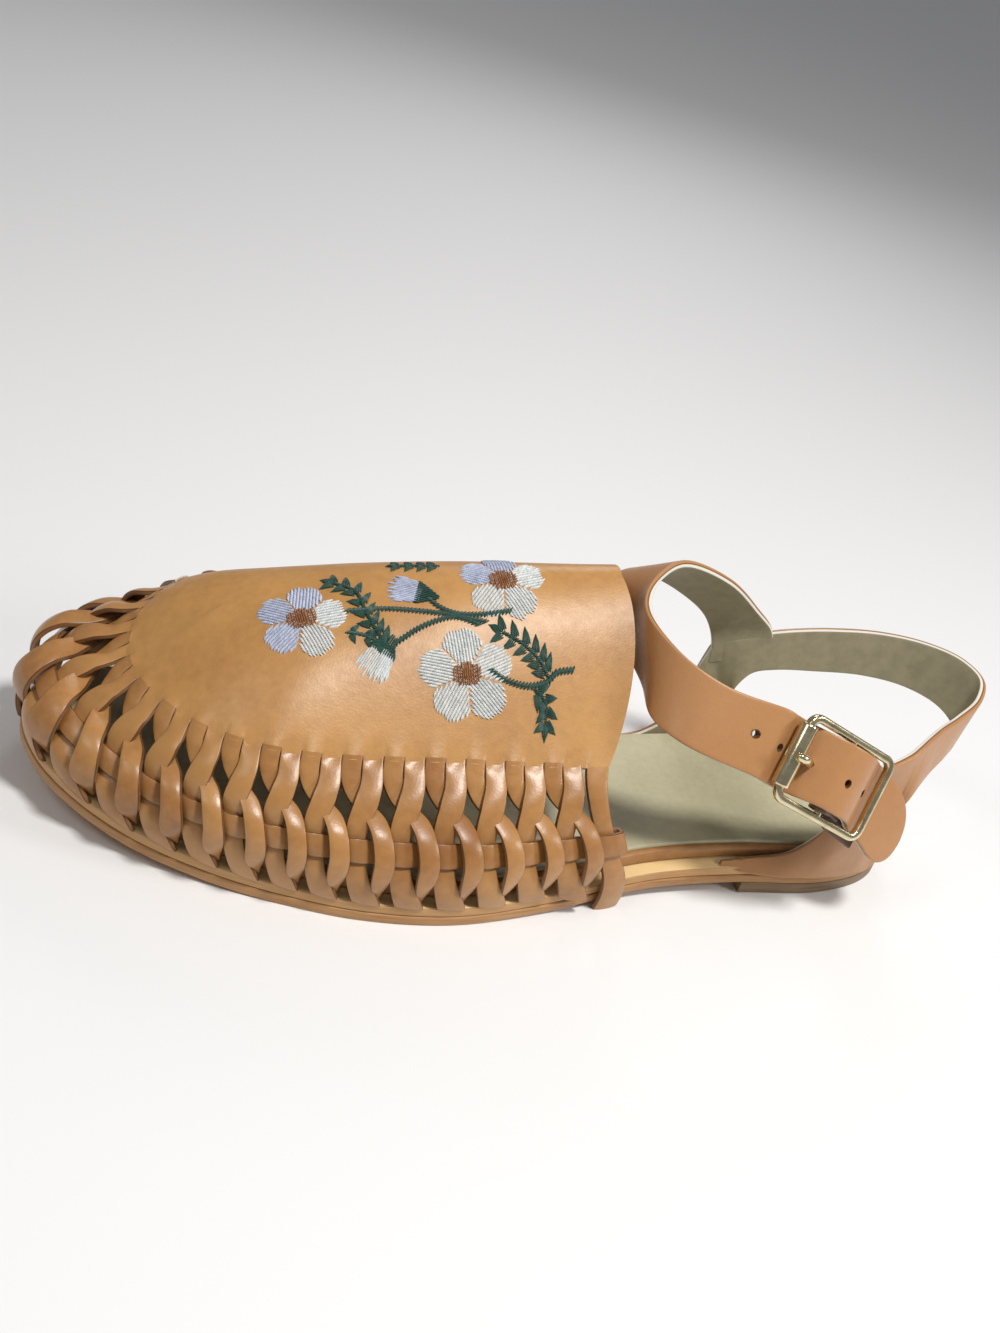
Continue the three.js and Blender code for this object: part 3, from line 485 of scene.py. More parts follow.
# %% Outline of the sole
SOLE_EDGES = table("along outer inner", [
    (0.0, 0.005, 0.005),
    (0.015, -0.177, 0.176),
    (0.046, -0.262, 0.265),
    (0.115, -0.333, 0.331),
    (0.229, -0.357, 0.327),
    (0.344, -0.4, 0.293),
    (0.458, -0.495, 0.279),
    (0.573, -0.566, 0.352),
    (0.668, -0.56, 0.437),
    (0.744, -0.51, 0.47),
    (0.821, -0.44, 0.467),
    (0.897, -0.341, 0.412),
    (0.954, -0.213, 0.333),
    (0.985, -0.092, 0.243),
    (1.0, 0.072, 0.072),
])
sole_x = (0.5 - SOLE_EDGES["along"]) * SOLE_LENGTH
outer_side, inner_side = (np.column_stack([sole_x, SOLE_EDGES[side] * BALL_WIDTH]) for side in ("outer", "inner"))
knots = np.concatenate([outer_side, inner_side[-2:0:-1]])
fine_edge = spline(knots, np.linspace(0, len(knots), 2401), closed=True)
edge_length = np.concatenate([[0], np.cumsum(np.linalg.norm(np.diff(fine_edge, axis=0), axis=1))])


def edge_at(share, inset=0.0):
    """Point of the outline at a share of its length, moved inwards, and the outward direction there."""
    at = np.mod(share, 1.0) * edge_length[-1]
    spot = np.stack([np.interp(at, edge_length, fine_edge[:, k]) for k in range(2)], -1)
    ahead = np.mod(at + 1.0, edge_length[-1])
    behind = np.mod(at - 1.0, edge_length[-1])
    walk = (np.interp(ahead, edge_length, line) - np.interp(behind, edge_length, line) for line in fine_edge.T)
    tangent = np.stack(list(walk), -1)
    outward = unit(np.stack([-tangent[..., 1], tangent[..., 0]], -1))
    outward = np.where((outward * spot).sum(-1, keepdims=True) < 0, -outward, outward)
    return spot - outward * np.asarray(inset)[..., None], outward


print(f"the outline is {edge_length[-1]:.0f} mm round")


# %% Profiles and layers
def rounded_profile(inset, low, high, corner, steps=4):
    """Insets and heights up a layer's side, its two corners quarter circles."""
    turn = np.linspace(0, math.pi / 2, steps + 1)
    insets = np.concatenate([corner * (1 - np.sin(turn)), corner * (1 - np.cos(turn))])
    heights = np.concatenate([low + corner * (1 - np.cos(turn)), high - corner * (1 - np.sin(turn))])
    return inset + insets, heights


def merged(obj, distance, outwards=False):
    """Joins points that meet, and turns a closed mesh's faces outwards."""
    bm = bmesh.new()
    bm.from_mesh(obj.data)
    bmesh.ops.remove_doubles(bm, verts=bm.verts, dist=distance)
    if outwards:
        bmesh.ops.recalc_face_normals(bm, faces=bm.faces)
    bm.to_mesh(obj.data)
    bm.free()
    return obj


def breast_share(side):
    """Share of the outline, from the heel's tip, at which one side reaches the heel's breast."""
    share = np.linspace(0, 0.25, 500)
    spots, _ = edge_at(share if side < 0 else 1 - share)
    return float(np.interp(HEEL_BREAST, along_at(spots[:, 0]), share))


def layer(name, insets, heights, ends=(0.5, 0.5), across=12, count=260, cup=0.0, wall_side=1.0):
    """A layer of the sole from the heel's tip to an end share of the outline on each side. The top sinks by
    cup towards the middle line, and the attribute side is 1 on it and wall_side below it."""
    closed = ends == (0.5, 0.5)
    walk = np.linspace(0, 1, count + 1)
    rings = []
    for inset, height in zip(insets, heights):
        outer, _ = edge_at(walk * ends[0], inset)
        inner, _ = edge_at(1 - walk * ends[1], inset)
        ring = np.concatenate([outer, inner[-2:0:-1] if closed else inner[::-1]])
        rings.append(np.column_stack([ring, underside(along_at(ring[:, 0])) + height]))
    rings = np.array(rings)
    size = rings.shape[1]
    points = [rings.reshape(-1, 3)]
    faces = [grid_quads(len(rings), size, close_cols=True)[:, ::-1].tolist()]
    total = len(rings) * size
    sides = [np.repeat(np.where(np.arange(len(rings)) > len(rings) - 3, 1.0, wall_side), size)]
    for ring_row, flip in ((0, False), (len(rings) - 1, True)):
        left = np.arange(count + 1)
        right = (size - left) % size if closed else size - 1 - left
        w = np.linspace(0, 1, across + 1)[None, :, None]
        ring = rings[ring_row]
        inside = ring[left][:, None] * (1 - w) + ring[right][:, None] * w
        if flip and cup:
            width = np.linalg.norm(ring[left] - ring[right], axis=1)[:, None]
            inside[..., 2] -= cup * (4 * w[..., 0] * (1 - w[..., 0])) ** 0.6 * np.clip(width / 20, 0, 1)
        ids = np.empty((count + 1, across + 1), int)
        ids[:, 1:-1] = total + np.arange((count + 1) * (across - 1)).reshape(count + 1, across - 1)
        ids[:, 0], ids[:, -1] = ring_row * size + left, ring_row * size + right
        points.append(inside[:, 1:-1].reshape(-1, 3))
        sides.append(np.ones((count + 1) * (across - 1)))
        total += (count + 1) * (across - 1)
        quads = np.stack([ids[:-1, :-1], ids[1:, :-1], ids[1:, 1:], ids[:-1, 1:]], -1).reshape(-1, 4)
        faces.append((quads if flip else quads[:, ::-1]).tolist())
    obj = build(name, np.concatenate(points), sum(faces, []), {"side": np.concatenate(sides)}, sharp=40)
    return merged(obj, 1e-6, outwards=True)


# %% Outsole, midsole and heel block
outsole_profile = rounded_profile(0.0, 0.0, OUTSOLE, 0.5)
finished(layer("outsole_edge", *outsole_profile), outsole_leather, "sole_leather", "outsole")
midsole = layer("midsole_welt", *rounded_profile(0.25, OUTSOLE + 0.1, DECK, 0.45), wall_side=0.0)
finished(midsole, welt_leather, "pale_midsole", "midsole")
heel_inset, heel_height = rounded_profile(0.0, 0.0, HEEL_LIFT - 0.1, 0.4)
heel_ends = (breast_share(-1), breast_share(1))
heel = layer("heel_block", heel_inset, heel_height - HEEL_LIFT, ends=heel_ends, across=1, count=100)
finished(heel, heel_leather, "heel_stack", "heel_lift")

# %% Footbed and insole
INSIDE_EDGE = EDGE_LEDGE + 2.2 + 2 * SEAM
RIM = 1.6
BED_TOP = DECK + SEAM + FOOTBED
bed_profile = rounded_profile(INSIDE_EDGE, DECK + 0.1, BED_TOP, 1.3, steps=6)
finished(layer("footbed_wrap", *bed_profile), strip_leather, "tan_leather", "footbed")
sock_profile = rounded_profile(INSIDE_EDGE + RIM, BED_TOP - 0.3, BED_TOP + SEAM + INSOLE, 0.6)
finished(layer("insole_sock", *sock_profile, cup=0.5), insole_leather, "sock_leather", "insole")

# %% [markdown]
# ## The toe piece
#
# One piece of leather covers the toes. Its middle, the plug, is whole, and its margin is cut into
# strips that cross in pairs. Both lie on one surface: ribs run from a ridge line over the plug's
# edge and down to the sole. A rib is two cubic curves, so the form is steered by a few slopes.

# %% Tables of the toe piece
PLUG_RIBS = table("pair along across up fall sole", [
    (-0.7, 0.43, -0.352, 0.455, 45, 0.201),
    (3, 0.583, -0.363, 0.453, 45, 0.275),
    (6, 0.707, -0.363, 0.43, 46, 0.332),
    (8, 0.785, -0.346, 0.428, 46, 0.366),
    (10, 0.85, -0.242, 0.394, 42, 0.402),
    (12, 0.898, -0.044, 0.352, 36, 0.443),
    (13.5, 0.909, 0.099, 0.365, 36, 0.485),
    (15, 0.896, 0.22, 0.436, 42, 0.526),
    (17, 0.851, 0.335, 0.521, 56, 0.576),
    (19, 0.784, 0.374, 0.56, 68, 0.619),
    (21, 0.705, 0.379, 0.575, 74, 0.66),
    (24, 0.583, 0.357, 0.6, 76, 0.718),
    (27.7, 0.428, 0.335, 0.63, 76, 0.783),
])
RIDGE = table("pair along up tilt", [
    (-0.7, 0.417, 0.94, 18),
    (3, 0.56, 0.895, 13),
    (6, 0.667, 0.822, 9),
    (8, 0.727, 0.76, 7),
    (10, 0.776, 0.705, 6),
    (12, 0.814, 0.645, 5),
    (13.5, 0.826, 0.62, 5),
])
RIDGE_ACROSS = 0.088
REAR_BULGE = 4.5
SOLE_BULGE = 0.36
print(len(PLUG_RIBS["pair"]), "ribs steer", PAIRS, "pairs of strips")


# %% Surfaces of the toe piece

def ribs(pair):
    """Ridge point, plug edge, foot and slopes of the ribs at pair positions."""
    edge = place(*(column(PLUG_RIBS, "pair", name, pair) for name in ("along", "across", "up")))
    spot, outward = edge_at(column(PLUG_RIBS, "pair", "sole", pair), EDGE_LEDGE)
    foot = np.concatenate([spot, (underside(along_at(spot[..., 0])) + DECK + SEAM)[..., None]], -1)
    half = np.minimum(pair, PAIRS - pair)
    top = place(column(RIDGE, "pair", "along", half), RIDGE_ACROSS, column(RIDGE, "pair", "up", half))
    back = np.maximum(half - 0.5, -0.7)
    front = np.minimum(half + 0.5, 13.5)
    near, far = (place(column(RIDGE, "pair", "along", p), 0, column(RIDGE, "pair", "up", p)) for p in (back, front))
    slope = (near[..., 2] - far[..., 2]) / (near[..., 0] - far[..., 0])
    fall = np.radians(column(PLUG_RIBS, "pair", "fall", pair))
    tilt = np.tan(np.radians(column(RIDGE, "pair", "tilt", half)))
    flat = np.concatenate([outward, np.zeros_like(outward[..., :1])], -1)
    return dict(pair=pair, half=half, edge=edge, foot=foot, outward=flat, top=top, slope=slope, fall=fall, tilt=tilt)


def plug_at(pair, share):
    """Point of the plug: cubic from the edge, share 0, to the ridge, share 1, with level slopes there."""
    r = ribs(pair)
    run = (r["edge"] - r["top"]) * [1, 1, 0]
    from_top, from_edge = run * 0.36, run * -0.3
    b = r["top"] + from_top
    b[..., 2] += r["slope"] * from_top[..., 0] + r["tilt"] * from_top[..., 1]
    lift = np.linalg.norm(from_edge, axis=-1) * np.tan(r["fall"])
    c = r["edge"] + from_edge
    c[..., 2] += np.minimum(lift, (r["top"] - r["edge"])[..., 2] * 0.7)
    spot = bezier(r["edge"], c, b, r["top"], share)
    near_rear = 1 - np.clip((r["half"] + 0.7) / 4, 0, 1)
    bulge = REAR_BULGE * np.where(pair < PAIRS / 2, 1, 0.3)
    spot[..., 0] += bulge * 4 * share * (1 - share) * near_rear**2
    return spot


def band_at(pair, down):
    """Point of the woven band: cubic from the plug's edge, down 0, to the foot on the sole, down 1."""
    r = ribs(pair)
    drop = np.linalg.norm(r["edge"] - r["foot"], axis=-1)[..., None]
    away = unit((r["edge"] - r["top"]) * [1, 1, 0])
    fall = r["fall"][..., None]
    b = r["edge"] + away * np.cos(fall) * drop * 0.38
    b[..., 2] -= (np.sin(fall) * drop * 0.38)[..., 0]
    c = r["foot"] + r["outward"] * SOLE_BULGE * drop * 0.4
    c[..., 2] += drop[..., 0] * 0.4
    return bezier(r["edge"], b, c, r["foot"], down)


def raised(surface, first, second, height, flip=1):
    """Points of a two-parameter surface, moved out along its normal, with the normal: cross product of
    its two central differences."""
    step = 0.01
    spot = surface(first, second)
    a = surface(first + step, second) - surface(first - step, second)
    b = surface(first, second + step) - surface(first, second - step)
    normal = unit(np.cross(a, b)) * flip
    return spot + normal * np.asarray(height)[..., None], normal


def root_wave(pair):
    """Strips leave the plug's edge by turns raised and sunk: a cosine of the pair position."""
    return 0.45 * np.cos(2 * math.pi * (pair - 0.75)) * np.clip(np.minimum(pair, PAIRS - pair) * 4 + 1, 0, 1)


crown = plug_at(np.array([3.0]), np.array([1.0]))[0] + BOX_SHIFT
print("the ridge over the third pair, mm in the shoe's frame:", crown.round(1))


# %% The plug
VAMP_WALL = 1.9


def plug_skin(rows=540, cols=44):
    """Grid from the outer edge over the ridge to the inner edge, puckered at the slits."""
    pair = np.linspace(-0.7, PAIRS / 2, rows)[:, None]
    w = np.linspace(0, 1, cols + 1)
    share = np.concatenate([w, w[-2::-1]])[None, :] ** 1.15
    pair, share = np.broadcast_arrays(pair, share)
    inner = np.arange(share.shape[1])[None, :] > cols
    position = np.where(inner, PAIRS - pair, pair)
    fade = np.clip(1 - share / 0.16, 0, 1) ** 2
    slit = np.abs(np.mod(position * 2 + 0.5, 1) - 0.5)
    pucker = -0.25 * np.exp(-((slit / 0.14) ** 2)) * np.clip(1 - share / 0.1, 0, 1) ** 1.5
    height = root_wave(position) * fade + pucker * (np.minimum(position, PAIRS - position) > -0.1)
    spot, _ = raised(plug_at, position, share, height, flip=-1)
    return spot


plug_points = plug_skin()
plug_quads = grid_quads(*plug_points.shape[:2])[:, ::-1]
plug = build("vamp_plug", plug_points.reshape(-1, 3), plug_quads.tolist(), sharp=180)


# %% The plug's wall
def walled(obj, thickness):
    """A sheet given a wall inwards by Solidify: its back and its rim take the second and third material."""
    wall = obj.modifiers.new("wall", "SOLIDIFY")
    wall.thickness = thickness * 0.001
    wall.offset = -1.0
    wall.use_even_offset = False
    wall.use_quality_normals = True
    wall.material_offset = 1
    wall.material_offset_rim = 2
    bpy.context.view_layer.update()
    applied = bpy.data.meshes.new_from_object(obj.evaluated_get(bpy.context.evaluated_depsgraph_get()))
    obj.modifiers.clear()
    obj.data = applied
    return obj


cut_leather = sock_leather("cut_leather_edge", srgb(206, 170, 128), srgb(170, 122, 78))
back_leather = sock_leather("white_leather_back", WHITE_BACK, srgb(180, 174, 160))
merged(plug, 2e-6)
for material in (vamp_leather, back_leather, cut_leather):
    plug.data.materials.append(material)
side = plug.data.attributes.new("side", "FLOAT", "POINT")
side.data.foreach_set("value", np.ones(len(plug.data.vertices), np.float32))
walled(plug, VAMP_WALL)
plug.data.set_sharp_from_angle(angle=math.radians(50))
finished(plug, vamp_leather, "tan_leather", "woven_vamp")

# %% [markdown]
# ## Embroidery
#
# The plug carries machine embroidery: flowers, buds and sprays in white, lavender, green and brown
# thread. Satin stitch is many short parallel threads, so each motif is drawn flat as an array of
# stitch ends, and every stitch becomes a small arched tube on the plug. A flat drawing is laid on
# the plug's tangent plane, and Newton's method finds the plug's point over each place of the plan.

# %% Points of the plug over its plan
def plug_over(half, way):
    """The plug from the outer edge, way 0, over the ridge, way 1, to the inner edge, way 2."""
    inner = way > 1
    return plug_at(np.where(inner, PAIRS - half, half), np.where(inner, 2 - way, way))


def on_plug(plan):
    """Points and normals of the plug over places of its plan, from the nearest node of a coarse grid."""
    flat = plan.reshape(-1, 2)
    half, way = (v.ravel() for v in np.meshgrid(np.linspace(-0.5, 13, 40), np.linspace(0.1, 1.9, 30)))
    nodes = plug_over(half, way)[:, :2]
    near = ((flat[:, None, 0] - nodes[:, 0]) ** 2 + (flat[:, None, 1] - nodes[:, 1]) ** 2).argmin(1)
    half, way, step = half[near], way[near], 1e-3
    for _ in range(6):
        here = plug_over(half, way)
        a = (plug_over(half + step, way) - here) / step
        b = (plug_over(half, way + step) - here) / step
        miss = flat - here[:, :2]
        area = a[:, 0] * b[:, 1] - a[:, 1] * b[:, 0]
        half = np.clip(half + (miss[:, 0] * b[:, 1] - miss[:, 1] * b[:, 0]) / area, -0.65, 13.4)
        way = np.clip(way + (a[:, 0] * miss[:, 1] - a[:, 1] * miss[:, 0]) / area, 0.02, 1.98)
    normal = unit(np.cross(a, b))
    normal = np.where(normal[:, 2:] < 0, -normal, normal)
    return here.reshape(*plan.shape[:-1], 3), normal.reshape(*plan.shape[:-1], 3)


def laid(centre, turn, flat):
    """Plan places of a flat drawing laid on the plug's tangent plane at a place, turned by an angle."""
    spot, normal = on_plug(np.array([centre], float))
    ahead = unit(np.cross([0.0, 1.0, 0.0], normal[0]))
    aside = np.cross(normal[0], ahead)
    u = flat[..., 0] * math.cos(turn) - flat[..., 1] * math.sin(turn)
    v = flat[..., 0] * math.sin(turn) + flat[..., 1] * math.cos(turn)
    return (spot[0] + u[..., None] * ahead + v[..., None] * aside)[..., :2]


# %% Flowers and buds as arrays of stitch ends
STITCH = 0.5
ROW = 0.84


def stitched(along, across, slant, length):
    """Ends of stitches centred at places of a drawing, each turned by slant from the first axis."""
    reach = 0.5 * length * np.stack([np.cos(slant), np.sin(slant)], -1)
    centre = np.stack([along, across], -1)
    return np.stack([centre - reach, centre + reach], -2)


def petal(radius, wave):
    """A petal filled with rows of slanted stitches: a wedge that widens to an elliptic end, its rim a sine."""
    along, across = (v.ravel() for v in np.meshgrid(np.arange(1.8, radius + 1, STITCH), np.arange(-8.4, 8.5, ROW)))
    broad = 0.6 * radius
    end = np.sqrt(np.clip(1 - ((along - broad) / (0.42 * radius)) ** 2, 0, 1))
    half = 0.66 * np.where(along < broad, along, broad * end)
    keep = (np.abs(across) < half) & (along < radius - 0.5 + 0.35 * np.sin(across * 1.7 + wave))
    slant = np.full(keep.sum(), 0.5)
    return stitched(along[keep], across[keep], slant, 1.05)


def bud():
    """A bud's white fan, its rim jagged, that widens from the calyx."""
    along, across = (v.ravel() for v in np.meshgrid(np.arange(0.4, 9.5, STITCH), np.arange(-5.4, 5.5, 0.6)))
    rim = 7.6 - 0.05 * across**2 + 0.9 * np.sin(across * 3.9)
    keep = (np.abs(across) < 3.1 + 0.24 * along) & (along < rim)
    return stitched(along[keep], across[keep], 0.1 + 0.06 * across[keep], 1.7)


def calyx():
    """The green triangle under a bud."""
    along, across = (v.ravel() for v in np.meshgrid(np.arange(-4.4, 0.9, 0.5), np.arange(-3.4, 3.5, 0.6)))
    keep = np.abs(across) < 0.4 + 0.62 * (along + 4.6)
    return stitched(along[keep], across[keep], 0.12 * across[keep], 1.4)


def flower_centre(long, short):
    """Crossed stitches that fill an ellipse."""
    along, across = (v.ravel() for v in np.meshgrid(np.arange(-long, long, 0.6), np.arange(-short, short, 0.75)))
    keep = (along / long) ** 2 + (across / short) ** 2 < 1
    slant = 1.2 + 0.5 * np.sin(along[keep] * 5)
    return stitched(along[keep], across[keep], slant, 1.1)


print("stitches in a petal, a bud and a calyx:", len(petal(12, 0)), len(bud()), len(calyx()))


# %% Stems and leaves
def stem(points, half=0.62):
    """Short slanted stitches along a smooth line through plan points."""
    points = np.array(points, float)
    fine = spline(points, np.linspace(0, len(points) - 1, 40 * len(points)))
    length = np.concatenate([[0], np.cumsum(np.linalg.norm(np.diff(fine, axis=0), axis=1))])
    at = np.arange(0, length[-1], 0.5)
    spots = np.stack([np.interp(at, length, fine[:, k]) for k in range(2)], -1)
    heading = np.gradient(spots, axis=0)
    angle = np.arctan2(heading[:, 1], heading[:, 0]) + np.where(np.arange(len(at)) % 2, 0.95, 0.6)
    return stitched(spots[:, 0], spots[:, 1], angle, 2 * half / math.sin(0.75))


def leaflet(at, angle, length):
    """A pointed leaf of five threads that meet at its tip, in plan."""
    row = np.linspace(-1, 1, 5)
    root = np.column_stack([0.2 + 0.3 * np.abs(row), row * length * 0.24])
    tip = np.column_stack([length - 0.8 * np.abs(row), row * 0.3])
    turn = np.array([[math.cos(angle), math.sin(angle)], [-math.sin(angle), math.cos(angle)]])
    return np.stack([root, tip], 1) @ turn + np.array(at, float)


def spray(points, count, length, spread=0.95):
    """Leaflets in pairs along a line of plan points, and one at its end."""
    points = np.array(points, float)
    spots = spline(points, np.linspace(0.2, len(points) - 1, count))
    heading = np.gradient(spots, axis=0)
    angles = np.arctan2(heading[:, 1], heading[:, 0])
    leaves = [leaflet(s, a + turn, length) for s, a in zip(spots, angles) for turn in (spread, -spread)]
    return np.concatenate([stem(points, 0.4), *leaves, leaflet(spots[-1], angles[-1], length)])


# %% The bouquet
FLOWERS = table("x y radius turn lavender", [
    (-65.9, -2.5, 11.8, 0.1, 3),
    (-12.3, 5.8, 11.9, 0.25, 2),
    (-22.8, -16.6, 13.2, 0.45, 0),
])
BUDS = table("x y turn", [(-35.1, 2.4, 2.78), (-45.0, -11.9, 4.1)])
STEMS = [
    [(-54.5, -1.5), (-44.7, -1.7), (-35.6, -2.7), (-27.6, -3.8), (-17.6, -5.5)],
    [(-33.0, 0.6), (-30.6, -1.6), (-26.3, -3.4), (-19.4, -3.7), (-10.8, -2.6)],
    [(-43.0, -10.9), (-40.9, -9.7), (-34.3, -6.3), (-26.2, -4.4), (-19.5, -6.2)],
    [(-16.4, -15.4), (-12.2, -17.1), (-5.2, -18.0), (-0.1, -16.8), (2.1, -15.2), (7.0, -14.4)],
]
SPRAYS = [
    ([(-44.3, -10.8), (-47.2, -7.1), (-49.7, -2.2), (-52.0, 4.5), (-57.0, 8.6)], 8, 4.2),
    ([(-29.3, 12.0), (-33.8, 12.7), (-39.6, 13.6)], 4, 3.4),
    ([(-0.2, -15.9), (-2.7, -12.9), (-7.0, -10.1), (-13.1, -7.6)], 6, 4.3),
    ([(-3.6, -18.6), (-0.6, -20.7), (-0.3, -24.3)], 4, 3.8),
    ([(-54.6, -7.4), (-50.0, -8.4), (-46.4, -10.2)], 3, 3.0),
]
white, lavender, green, brown = [], [], [], []
for x, y, radius, turn, tinted in zip(*FLOWERS.values()):
    for k in range(5):
        drawing = laid((x, y), turn + k * 2 * math.pi / 5, petal(radius, 1.3 * k + x))
        (lavender if 0 < k <= tinted else white).append(drawing)
    brown.append(laid((x, y), 0.1, flower_centre(4.2, 3.1)))
for k, (x, y, turn) in enumerate(zip(*BUDS.values())):
    (lavender if k == 0 else white).append(laid((x, y), turn, bud()))
    green.append(laid((x, y), turn, calyx()))
green += [stem(line) for line in STEMS] + [spray(*drawing) for drawing in SPRAYS]


# %% Stitches as arched tubes
THREAD = 0.22


def threads(name, drawings, material, lift=0.28):
    """Each stitch as a tube of five sides over four points, sunk at its ends, all in one mesh."""
    ends = np.concatenate(drawings)
    at = np.array([0, 0.22, 0.78, 1])
    plan = ends[:, :1] * (1 - at)[None, :, None] + ends[:, 1:] * at[None, :, None]
    spot, normal = on_plug(plan)
    centre = spot + normal * np.array([-0.15, lift, lift, -0.15])[None, :, None]
    along = unit(np.gradient(centre, axis=1))
    across = unit(np.cross(normal, along))
    up = np.cross(along, across)
    turn = np.linspace(0, 2 * math.pi, 6)[:-1, None]
    ring = centre[:, :, None] + THREAD * (np.cos(turn) * across[:, :, None] + np.sin(turn) * up[:, :, None])
    one = grid_quads(4, 5, close_cols=True)[:, ::-1]
    shift = np.arange(len(ends))[:, None, None] * 20
    quads = (one[None] + shift).reshape(-1, 4).tolist()
    caps = (np.array([[4, 3, 2, 1, 0], [15, 16, 17, 18, 19]])[None] + shift).reshape(-1, 5).tolist()
    tone = np.repeat(np.random.default_rng(len(ends)).normal(0, 1, len(ends)), 20)
    obj = build(name, ring.reshape(-1, 3), quads + caps, {"tone": tone}, sharp=60)
    return finished(obj, material, "tan_leather", "woven_vamp")


def thread(name, face, shade):
    """Satin thread, a little lighter or darker from stitch to stitch."""
    g = Graph(name, Specular_IOR_Level=0.35, Sheen_Weight=0.2)
    fibre = g.noise(1600, 2.0)
    share = (g.attribute("tone") * 0.16 + fibre * 0.5 + 0.1).band(0, 1)
    g.wear(Base_Color=g.mix(share, face, shade), Roughness=fibre * 0.2 + 0.35)
    return g.bump(fibre, 0.3, 0.0002).material


threads("embroidery_white", white, thread("white_thread", srgb(228, 231, 228), srgb(170, 177, 180)))
threads("embroidery_lavender", lavender, thread("lavender_thread", srgb(200, 207, 226), srgb(150, 158, 184)))
threads("embroidery_green", green, thread("green_thread", srgb(36, 78, 66), srgb(18, 48, 42)), lift=0.45)
threads("embroidery_brown", brown, thread("brown_thread", srgb(152, 94, 40), srgb(100, 60, 26)), lift=0.5)

# %% [markdown]
# ## The weave
#
# Each pair has two strips. One starts on the heel side, passes in front, ducks under the thong and
# comes out again. Its partner starts on the toe side, passes behind, bulges over the thong and
# tucks back. Both follow the band's surface: a table gives the middle line, half width, height and
# tilt down the band, and the strip is a strap section carried along it.

# %% Tables of the strips
STRIP_WALL = 1.5
STRIP_PITCH = 11.5
FRONT_STRIP = table("down middle half height tilt raw", [
    (0.0, 0.75, 0.25, -0.75, 0.1, 1),
    (0.1, 0.785, 0.255, -0.3, 0.7, 1),
    (0.16, 0.765, 0.265, 0.1, 0.8, 0.7),
    (0.22, 0.7, 0.28, 0.4, 0.6, 0),
    (0.28, 0.63, 0.29, 0.4, 0.3, 0),
    (0.345, 0.53, 0.285, 0.1, 0.1, 0),
    (0.41, 0.44, 0.27, -0.4, 0.0, 0),
    (0.475, 0.39, 0.245, -1.0, 0.0, 0),
    (0.54, 0.36, 0.235, -1.4, 0.0, 0),
    (0.65, 0.33, 0.24, -1.4, 0.0, 0),
    (0.71, 0.31, 0.25, -0.9, 0.0, 0.3),
    (0.77, 0.31, 0.27, -0.3, 0.2, 1),
    (0.84, 0.37, 0.3, 0.3, 0.4, 1),
    (0.92, 0.48, 0.33, 0.7, 0.4, 1),
    (1.0, 0.61, 0.34, 0.8, 0.3, 0.5),
])
BACK_STRIP = table("down middle half height tilt raw", [
    (0.0, 0.25, 0.25, -0.75, 0.0, 0),
    (0.1, 0.285, 0.25, -1.1, 0.0, 0),
    (0.16, 0.36, 0.255, -1.5, 0.0, 0),
    (0.22, 0.47, 0.26, -1.7, -0.2, 0),
    (0.28, 0.62, 0.265, -1.5, -0.2, 0),
    (0.345, 0.81, 0.265, -0.6, -0.2, 0),
    (0.41, 0.9, 0.25, 0.6, -0.3, 0),
    (0.475, 0.935, 0.24, 1.6, -0.4, 0),
    (0.56, 0.945, 0.24, 2.1, -0.4, 0),
    (0.65, 0.93, 0.24, 2.1, -0.7, 0.6),
    (0.73, 0.88, 0.24, 1.7, -1.2, 1),
    (0.8, 0.84, 0.215, 1.1, -1.8, 1),
    (0.86, 0.83, 0.165, 0.4, -2.2, 1),
    (0.92, 0.84, 0.1, -0.5, -2.0, 1),
    (1.0, 0.86, 0.06, -1.3, -0.5, 1),
])


print("the front strip's middle wanders by", round(float(np.ptp(FRONT_STRIP["middle"])), 2), "of a pair's pitch")


# %% Forms of the strips
def bell(pair, middle, width):
    """Bell curve, 1 at its middle."""
    return np.exp(-(((pair - middle) / width) ** 2))


def puff(pair, down):
    """How far the weave stands off the last: it bulges round the toe, and at the outer rear corner it hangs
    over the waist. Both are bell curves of the pair position."""
    toe = 1.9 * bell(pair, 16.5, 4.0) * np.sin(math.pi * np.clip(down, 0, 1)) ** 0.8
    rear = 4.0 * bell(np.maximum(pair + 0.7, 0), 0, 1.3) * np.clip((down - 0.5) / 0.5, 0, None) ** 1.3
    return toe + rear


def strip(rows, pair, tone, last=1.0, relief=1.0):
    """One strip of a pair: sections of a strap carried down the band from just inside the plug's edge. The
    table counts from the pair's toe side."""
    down = np.linspace(-0.03, last, 50)[:, None]
    share, reach, height, side = strap_section(STRIP_WALL)
    across = share * column(rows, "down", "half", down) + reach / STRIP_PITCH
    position = pair + 1 - column(rows, "down", "middle", down) - across
    crown = 0.3 * (1 - share**2) * np.clip(down * 8, 0, 1)
    lift = column(rows, "down", "height", down) + column(rows, "down", "tilt", down) * across / 0.45
    lift = lift * (1 + (relief - 1) * np.clip(down * 6, 0, 1))
    root = root_wave(position) * np.clip(1 - down / 0.1, 0, 1) ** 2
    lift = lift + crown + root + height + puff(position, down)
    spot, _ = raised(band_at, position, np.broadcast_to(down, position.shape), lift)
    floor = underside(along_at(spot[..., 0])) + DECK - 0.05
    hanging = lift > EDGE_LEDGE + 1.6
    spot[..., 2] = np.where(hanging, spot[..., 2], np.maximum(spot[..., 2], floor))
    points, faces, values = loft(spot, side, tone)
    values["raw"] = np.broadcast_to(np.interp(down, rows["down"], rows["raw"]), spot.shape[:2]).ravel()
    return points, faces, values


